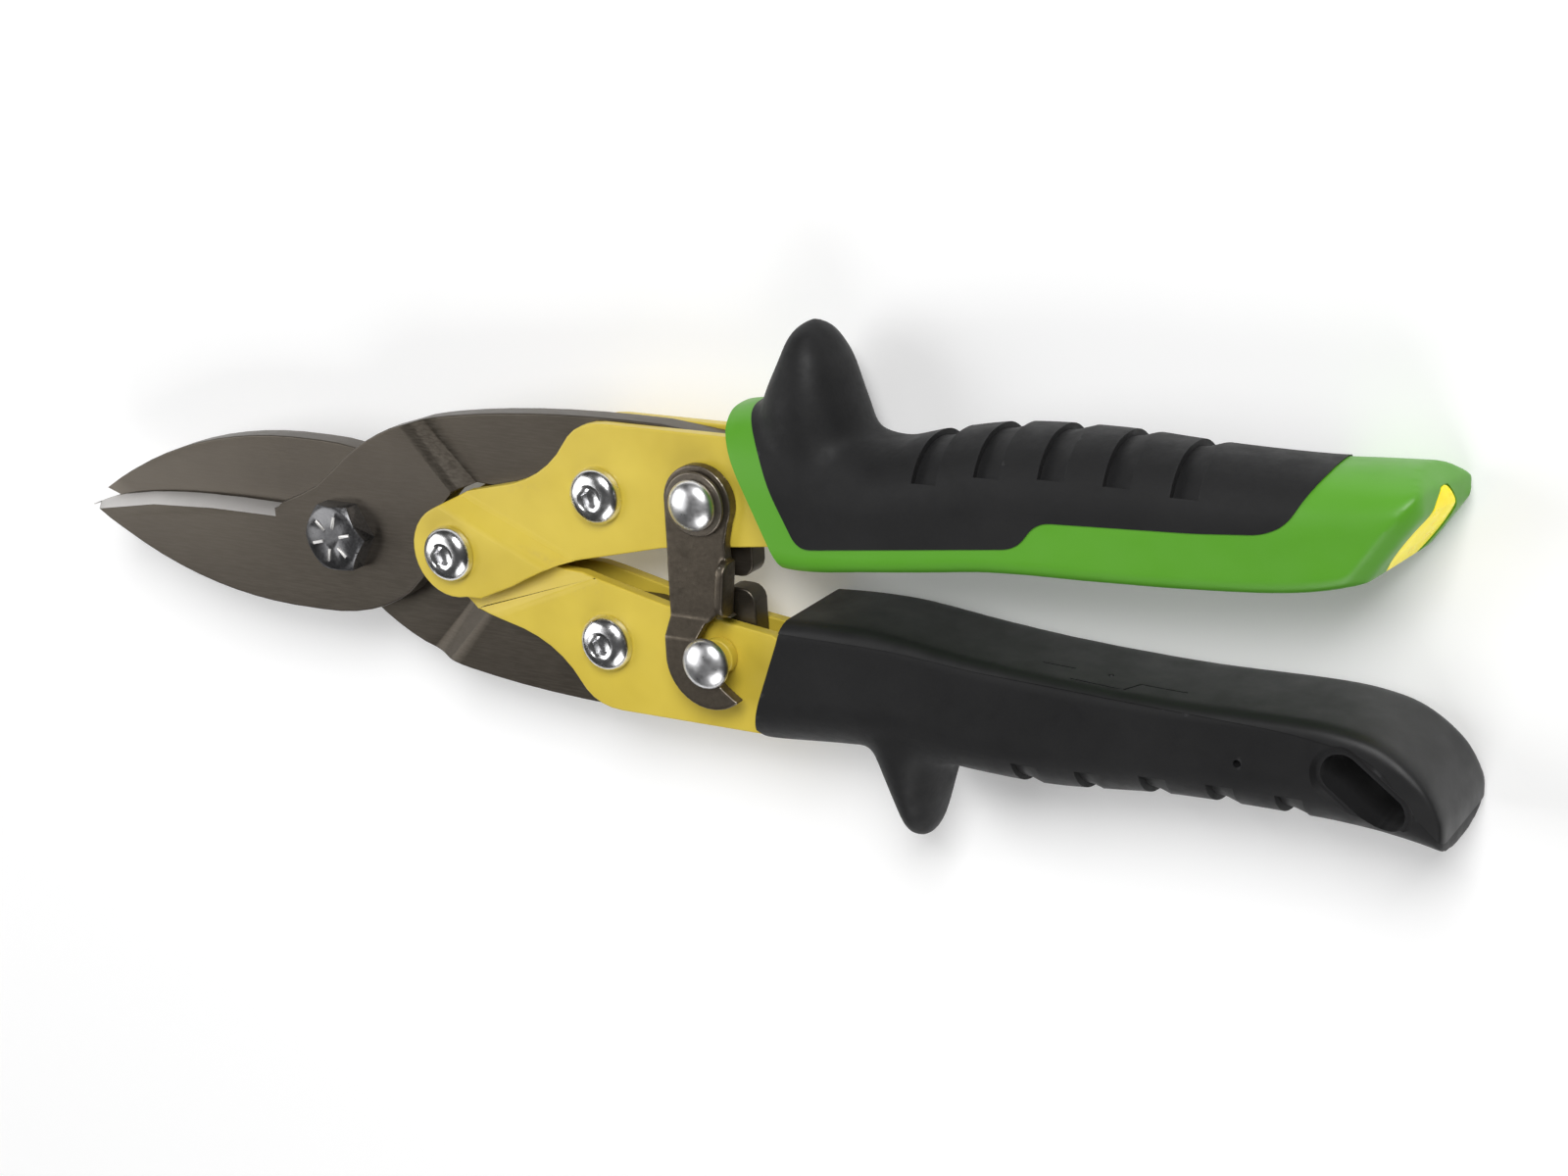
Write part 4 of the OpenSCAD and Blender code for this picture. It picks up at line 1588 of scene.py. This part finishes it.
@dataclass
class UpperGrip(Grip):
    """The green grip with its black overmould and the yellow inlay in its butt."""

    name: str = "upper_grip"
    stations: Sequence[Row] = (
        (78, 8.6, 28.9), (81, 7.9, 29.6), (85, 7.0, 30.0), (93.9, 5.6, 29.0), (106.9, 6.9, 25.8),
        (115.6, 7.9, 27.6), (127.5, 9.3, 29.7), (143.8, 9.9, 30.2), (159, 10.6, 29.4),
        (174.2, 12, 29.1), (183.5, 14.4, 29.5), (200, 22, 30.0))
    guard_levels: Sequence[Row] = (
        (18, 94.8, 9.6, 9.6), (24, 94.4, 9.4, 9.4), (26.5, 93.9, 9.0, 9.2), (30, 93.7, 8.1, 8.9),
        (32.3, 93.6, 7.3, 8.5), (37.6, 94.1, 5.1, 7.0), (40.9, 93.8, 3.4, 5.2),
        (42.6, 94.0, 2.2, 3.4), (43.7, 94.2, 0.4, 0.8))
    guard_reach: Point2 = (83.0, 110.0)
    first_notch: float = 115.0
    notch_gap: float = 10.25
    tang: Sequence[Point2] = ((78, 6.3), (86, 7.3), (95, 12.8), (160, 12.8), (160, 20.6), (100, 20.6),
                              (90, 24), (84, 24.6), (78, 24.6))
    front: Sequence[Point2] = ((60, 60), (80.8, 60), (80.8, 29.2), (81.6, 27), (83.6, 23), (85.9, 18.4),
                               (91, 7.6), (92.5, 4), (92.5, -10), (60, -10))
    collar: Sequence[Point2] = ((83.6, 60), (83.6, 31), (86.8, 27), (88.8, 23.6), (91.2, 17.9), (95.4, 9.8))
    strip: Sequence[Point2] = ((132.4, 14.2), (135.6, 18.6), (160, 19.7), (170.0, 20.6), (173.4, 22.4),
                               (175.6, 26.4), (178.6, 30.4), (180, 60))
    beyond: Sequence[Point2] = ((150, 70), (90, 70))
    line_round: float = 2.4
    butt_at: Point2 = (187.8, 20.4)
    corner_at: Point2 = (192.0, 27.2)
    corner_way: Point2 = (0.673, 0.74)
    butt_turn: float = -35.0
    butt_tilt: float = 8.0
    face_rise: float = 1.6
    chamfer: float = 2.5
    chamfer_rise: float = 2.0
    lens_radius: float = 8.4
    lens_gap: float = 2.6
    lens_depth: float = 0.6
    lens_faces: int = 96
    seat_gap: float = 0.25
    seat_above: float = 6.0
    inlay_sunk: float = 0.15
    inlay_edge: float = 0.35
    hard_angle: float = 40.0
    soft_angle: float = 32.0

    def make(self) -> None:
        """Builds the green base, the overmould and the inlay."""
        base = self.loft()
        self.end_butt(base)
        self.flow_together(base, self.guard())
        carve(base, self.zone("front_cut", self.front))
        carve(base, self.pocket())
        soft_outline = [*rounded([*self.collar, *self.strip], self.line_round, 8), *self.beyond]
        soft = copied(base, "upper_grip_soft")
        apply_modifier(soft, "DISPLACE", strength=self.proud * MM, mid_level=0.0)
        carve(soft, self.zone("soft_zone", soft_outline), Cut.TO_SHAPE)
        self.cut_notches(soft)
        base.name = "upper_grip_shell"
        carve(base, self.zone("soft_zone", soft_outline))
        unbroken = copied(base, "butt_before_seat")
        carve(base, self.lens("inlay_seat", self.seat_gap, self.seat_above))
        inlay = self.lens("butt_inlay", 0.0, 0.0)
        ease_edges(inlay, self.inlay_edge, 3)
        carve(inlay, unbroken, Cut.TO_SHAPE)
        self.finish(base, self.finishes.green, "base", self.hard_angle)
        self.finish(soft, self.finishes.rubber, "overmold", self.soft_angle)
        self.finish(inlay, self.finishes.inlay, "insert", self.hard_angle)

    def end_butt(self, body: bpy.types.Object) -> None:
        """Cuts the butt at its slant and chamfers its rim.

        Args:
            body: the lofted body.
        """
        facing = self.butt_frame() @ Vector((0, 0, 1))
        here = self.layout.at(*self.butt_at) + facing * (self.face_rise - self.chamfer_rise) * MM
        begin_edit(body)
        for spot, way in ((self.layout.at(*self.corner_at), Vector((*self.corner_way, 0))), (here, facing)):
            bpy.ops.mesh.select_all(action="SELECT")
            bpy.ops.mesh.bisect(plane_co=spot, plane_no=way, use_fill=True, clear_outer=True)
        bpy.ops.mesh.inset(thickness=self.chamfer * MM, depth=self.chamfer_rise * MM)
        end_edit()

    def butt_frame(self) -> Matrix:
        """The way the butt lies, as a turn that brings +Z to its facing."""
        tilt = math.radians(90 - self.butt_tilt)
        return Euler((0, tilt, math.radians(self.butt_turn))).to_matrix()

    def lens(self, name: str, grow: float, above: float) -> bpy.types.Object:
        """Builds the pointed lens shape of the inlay from two overlapping discs.

        Args:
            name: the new piece's name.
            grow: how much wider it is than the inlay, in millimetres.
            above: how far it stands out of the butt.

        Returns:
            The lens, standing in the butt.
        """
        height = self.lens_depth + above + self.face_rise - self.inlay_sunk
        lens, other = (prism(name, Vector((sign * self.lens_gap, 0, -self.lens_depth)) * MM,
                             self.lens_radius + grow, height, self.lens_faces) for sign in (-1, 1))
        carve(lens, other, Cut.TO_SHAPE)
        lens.rotation_euler = self.butt_frame().to_euler()
        lens.location = self.layout.at(*self.butt_at)
        return settle(lens)


@dataclass
class LowerGrip(Grip):
    """The black grip: a hard inner strip and butt, a soft flank, and the hanging slot."""

    name: str = "lower_grip"
    side: Side = Side.DOWN
    body: Body = Body.LOWER
    stations: Sequence[Row] = (
        (80, -3.0, -25.6), (86, -3.0, -25.6), (98.2, -2.4, -24.6), (107, -2.6, -24.2),
        (121, -4.3, -25.2), (135, -5.6, -25.4), (154.7, -6.5, -23.6), (176.4, -6.4, -23.4),
        (184.5, -7.4, -23.8), (188.3, -8.9, -24.2), (192, -11.6, -24.6), (194.4, -14.4, -24.8),
        (196.2, -18.6, -24.6))
    guard_levels: Sequence[Row] = (
        (-17, 110.5, 9.0, 9.4), (-22, 110.2, 8.2, 9.4), (-24, 109.8, 7.2, 9.2), (-27, 109.8, 5.9, 8.6),
        (-33, 110, 4.0, 6.8), (-36.8, 110, 2.9, 5.0), (-38.9, 110, 1.6, 2.6), (-39.6, 110, 0.3, 0.6))
    guard_reach: Point2 = (100.0, 122.0)
    first_notch: float = 130.0
    notch_gap: float = 10.4
    tang: Sequence[Point2] = ((78, -6.3), (86, -7.3), (95, -12.8), (160, -12.8), (160, -20.6),
                              (100, -20.6), (90, -24), (84, -24.6), (78, -24.6))
    front: Sequence[Point2] = ((60, 20), (98, 20), (90.4, -6), (84.3, -22.4), (85.8, -27), (86.5, -60),
                               (60, -60))
    parting: Sequence[Point2] = ((60, -4.6), (93, -4.4), (110, -4.5), (124, -6.0), (151, -7.3),
                                 (174, -8.0), (183, -9.4), (187.5, -11.6), (191.3, -17.0), (198.5, -23.4),
                                 (204, -40), (60, -60))
    parting_round: float = 6.0
    slot_at: Point2 = (184.4, -15.9)
    slot_turn: float = -38.0
    slot_width: float = 6.0
    slot_length: float = 14.0
    slot_over: float = 5.0
    dish_margin: float = 1.2
    dish_grow: float = 3.4
    dish_depth: float = 1.0
    dish_height: float = 2.0
    dimple_at: Point2 = (166.2, -14.0)
    dimple_depth: float = 1.0
    dimple_radius: float = 0.6
    panel: Sequence[Sequence[Point2]] = (((133.0, 3.6), (138.2, 3.4)),
                                         ((139.2, 7.4), (147.8, 7.7), (149.2, 4.6), (156.5, 4.8)))
    panel_line: float = 0.32
    panel_cut: float = 0.9
    dot_at: Point2 = (143.9, 3.3)
    dot_radius: float = 0.5
    smooth_angle: float = 32.0

    def make(self) -> None:
        """Builds the hard base and the soft overmould."""
        base = self.loft()
        self.flow_together(base, self.guard())
        soft_outline = rounded(self.parting, self.parting_round)
        soft = copied(base, "lower_grip_soft")
        apply_modifier(soft, "DISPLACE", strength=-self.proud * MM, mid_level=0.0)
        for piece in (base, soft):
            carve(piece, self.zone("front_cut", self.front))
            carve(piece, self.pocket())
            self.cut_slot(piece)
        carve(soft, self.zone("soft_zone", soft_outline), Cut.TO_SHAPE)
        self.cut_notches(soft)
        face = self.layout.at(*self.dimple_at, self.thickness / 2 - self.dimple_depth)
        carve(soft, prism("dimple", face, self.dimple_radius, 3 * self.dimple_depth, 24))
        base.name = "lower_grip_core"
        carve(base, self.zone("soft_zone", soft_outline))
        self.engrave_panel(base)
        self.finish(base, self.finishes.black, "base", self.smooth_angle)
        self.finish(soft, self.finishes.rubber, "overmold", self.smooth_angle)

    def cut_slot(self, piece: bpy.types.Object) -> None:
        """Cuts the hanging slot and the shallow dish round it on both faces.

        Args:
            piece: a part of the grip.
        """
        half = self.thickness / 2
        over = half + self.slot_over
        carve(piece, self.stadium("slot", self.slot_width, -over, 2 * over, 0))
        for sign, low in ((-1, self.dish_depth - self.dish_height - half), (1, half - self.dish_depth)):
            carve(piece, self.stadium("dish", self.slot_width + self.dish_margin, low, self.dish_height,
                                      self.dish_grow * sign))

    def stadium(self, name: str, width: float, low: float, height: float, flare: float) -> bpy.types.Object:
        """Builds a long hole's cutter: a cylinder is pulled out along the slot.

        Args:
            name: the new piece's name.
            width: its width, in millimetres.
            low: the height of its lower face.
            height: its height.
            flare: how much wider its upper end is, or its lower end if negative.

        Returns:
            The cutter.
        """
        spread = self.slot_length - self.slot_width
        cutter = prism(name, Vector((0, 0, low)) * MM, width / 2, height, 48)
        begin_edit(cutter, Start.WITH_NOTHING)
        bpy.ops.mesh.select_mode(type="VERT")
        sheet = bmesh.from_edit_mesh(cutter.data)
        for vertex in sheet.verts:
            vertex.select_set(vertex.co.x > SAME_SPOT)
        bmesh.update_edit_mesh(cutter.data)
        bpy.ops.transform.translate(value=(spread * MM, 0, 0))
        if flare:
            middle = (low + height / 2) * MM
            sheet = bmesh.from_edit_mesh(cutter.data)
            for vertex in sheet.verts:
                vertex.select_set((vertex.co.z - middle) * flare > 0)
            bmesh.update_edit_mesh(cutter.data)
            wider = (width + abs(flare)) / width
            longer = (width + spread + abs(flare)) / (width + spread)
            bpy.ops.transform.resize(value=(longer, wider, 1),
                                     center_override=(spread / 2 * MM, 0, middle))
        end_edit()
        cutter.location = Vector((-spread / 2, 0, 0)) * MM
        settle(cutter)
        cutter.rotation_euler = (0, 0, math.radians(self.slot_turn))
        cutter.location = self.layout.at(*self.slot_at)
        return settle(cutter)

    def engrave_panel(self, base: bpy.types.Object) -> None:
        """Engraves the outline of the shallow moulded panel in the inner face, and its small dot.

        Args:
            base: the hard base.
        """
        strokes = [pair for line in self.panel for pair in zip(line, line[1:])]
        for (x0, z0), (x1, z1) in strokes:
            inner = max(follow(self.stations, x)[0] for x in (x0, x1))
            run = math.hypot(x1 - x0, z1 - z0)
            clear_selection()
            bpy.ops.mesh.primitive_cube_add(size=1, location=self.layout.at((x0 + x1) / 2, inner,
                                                                            (z0 + z1) / 2))
            line = bpy.context.object
            line.scale = Vector((run + self.panel_line / 2, self.panel_cut, self.panel_line)) * MM
            line.rotation_euler = (0, -math.atan2(z1 - z0, x1 - x0), 0)
            carve(base, settle(line))
        x, z = self.dot_at
        clear_selection()
        bpy.ops.mesh.primitive_ico_sphere_add(subdivisions=3, radius=self.dot_radius * MM,
                                              location=self.layout.at(x, follow(self.stations, x)[0], z))
        carve(base, settle(bpy.context.object))


# ---------------------------------------------------------------- hidden pieces


@dataclass
class HiddenSteel:
    """Bushes, spacers and rivets that stay as the CAD has them and get their finish."""

    frame: dict[str, Any]
    finishes: Finishes

    def make(self) -> None:
        """Dresses the hidden nodes."""
        for node in ("handle_pivot_bush", "upper_link_bush", "lower_link_bush", "upper_tang_spacers",
                     "upper_tang_rivets", "lower_tang_spacers", "lower_tang_rivets"):
            self.finishes.dress(self.frame["nodes"][node], self.finishes.nut)
            log.info("%s keeps its CAD shape", node)


# ---------------------------------------------------------------- studio


@dataclass(frozen=True)
class Lamp:
    """A square area light that faces the tool, with its place and size in metres and its power in watts."""

    name: str
    place: Point3
    size: float
    power: float


@dataclass
class Studio:
    """A pale floor, soft lights and the camera."""

    layout: Layout
    lamps: Sequence[Lamp] = (Lamp("key", (0.35, 0.65, 0.75), 0.5, 9.0),
                             Lamp("fill", (-0.75, 0.1, 0.6), 0.7, 4.0),
                             Lamp("front", (0.2, -0.7, 0.45), 0.6, 3.0))
    eye: Point3 = (294.0, 130.5, 339.6)
    tilt: Point3 = (-19.99, 30.46, -3.405)
    lens: float = 60.6
    sensor: float = 36.0
    nearest: float = 0.01
    floor_size: float = 4.0
    floor_drop: float = 0.0003
    floor_glow: float = 0.16
    paper: Colour = (0.90, 0.90, 0.90)
    paper_shade: Colour = (0.88, 0.88, 0.88)
    dim: float = 0.45
    bright: float = 1.1
    dim_below: float = 0.1
    bright_above: float = 0.75

    def make(self) -> None:
        """Builds the floor, the lights and the camera."""
        self.make_floor()
        self.make_lights()
        self.make_camera()

    def make_floor(self) -> None:
        """Builds the floor under the tool."""
        clear_selection()
        bpy.ops.mesh.primitive_plane_add(size=self.floor_size, location=(0, 0, -self.floor_drop))
        floor = settle(bpy.context.object)
        floor.name = "studio_floor"
        bench = NodeBench("studio_paper")
        bench.feed(bench.blend(bench.noise(3, 2), self.paper, self.paper_shade), "Base Color")
        bench.set(Roughness=0.9, Specular_IOR_Level=0.1, Emission_Color=(1.0, 1.0, 1.0, 1.0),
                  Emission_Strength=self.floor_glow)
        floor.data.materials.append(bench.material)

    def make_lights(self) -> None:
        """Builds the bright surroundings and the area lights."""
        world = bpy.data.worlds.new("studio_world")
        world.use_nodes = True
        tree = world.node_tree
        heights = tree.nodes.new("ShaderNodeTexCoord")
        split = tree.nodes.new("ShaderNodeSeparateXYZ")
        spread = tree.nodes.new("ShaderNodeMapRange")
        spread.interpolation_type = "SMOOTHSTEP"
        for key, value in (("From Min", self.dim_below), ("From Max", self.bright_above),
                           ("To Min", self.dim), ("To Max", self.bright)):
            spread.inputs[key].default_value = value
        tree.links.new(heights.outputs["Generated"], split.inputs["Vector"])
        tree.links.new(split.outputs["Z"], spread.inputs["Value"])
        tree.links.new(spread.outputs["Result"], tree.nodes["Background"].inputs["Strength"])
        bpy.context.scene.world = world
        bpy.context.scene.view_settings.view_transform = "Standard"
        for lamp in self.lamps:
            clear_selection()
            bpy.ops.object.light_add(type="AREA", location=lamp.place)
            light = bpy.context.object
            light.name = f"studio_{lamp.name}"
            light.data.size = lamp.size
            light.data.energy = lamp.power
            light.rotation_euler = (-Vector(lamp.place)).to_track_quat("-Z", "Y").to_euler()

    def make_camera(self) -> None:
        """Builds the camera."""
        clear_selection()
        bpy.ops.object.camera_add(location=self.layout.at(*self.eye),
                                  rotation=[math.radians(a) for a in self.tilt])
        camera = bpy.context.object
        camera.name = "studio_camera"
        camera.data.lens = self.lens
        camera.data.sensor_width = self.sensor
        camera.data.clip_start = self.nearest
        bpy.context.scene.camera = camera


def main() -> None:
    """Builds the studio and then the tool, piece by piece."""
    logging.basicConfig(level=logging.INFO, format="%(name)s: %(message)s")
    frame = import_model()
    layout = Layout.from_frame(frame)
    finishes = Finishes()
    shaper = SteelShaper(frame, finishes)
    Studio(layout).make()
    Blades(layout, shaper).make()
    HandlePlates(shaper).make()
    Fasteners(shaper).make()
    Latch(layout, shaper).make()
    ReturnSpring(layout, finishes).make()
    HiddenSteel(frame, finishes).make()
    UpperGrip(layout, finishes).make()
    LowerGrip(layout, finishes).make()


if __name__ == "__main__":
    main()
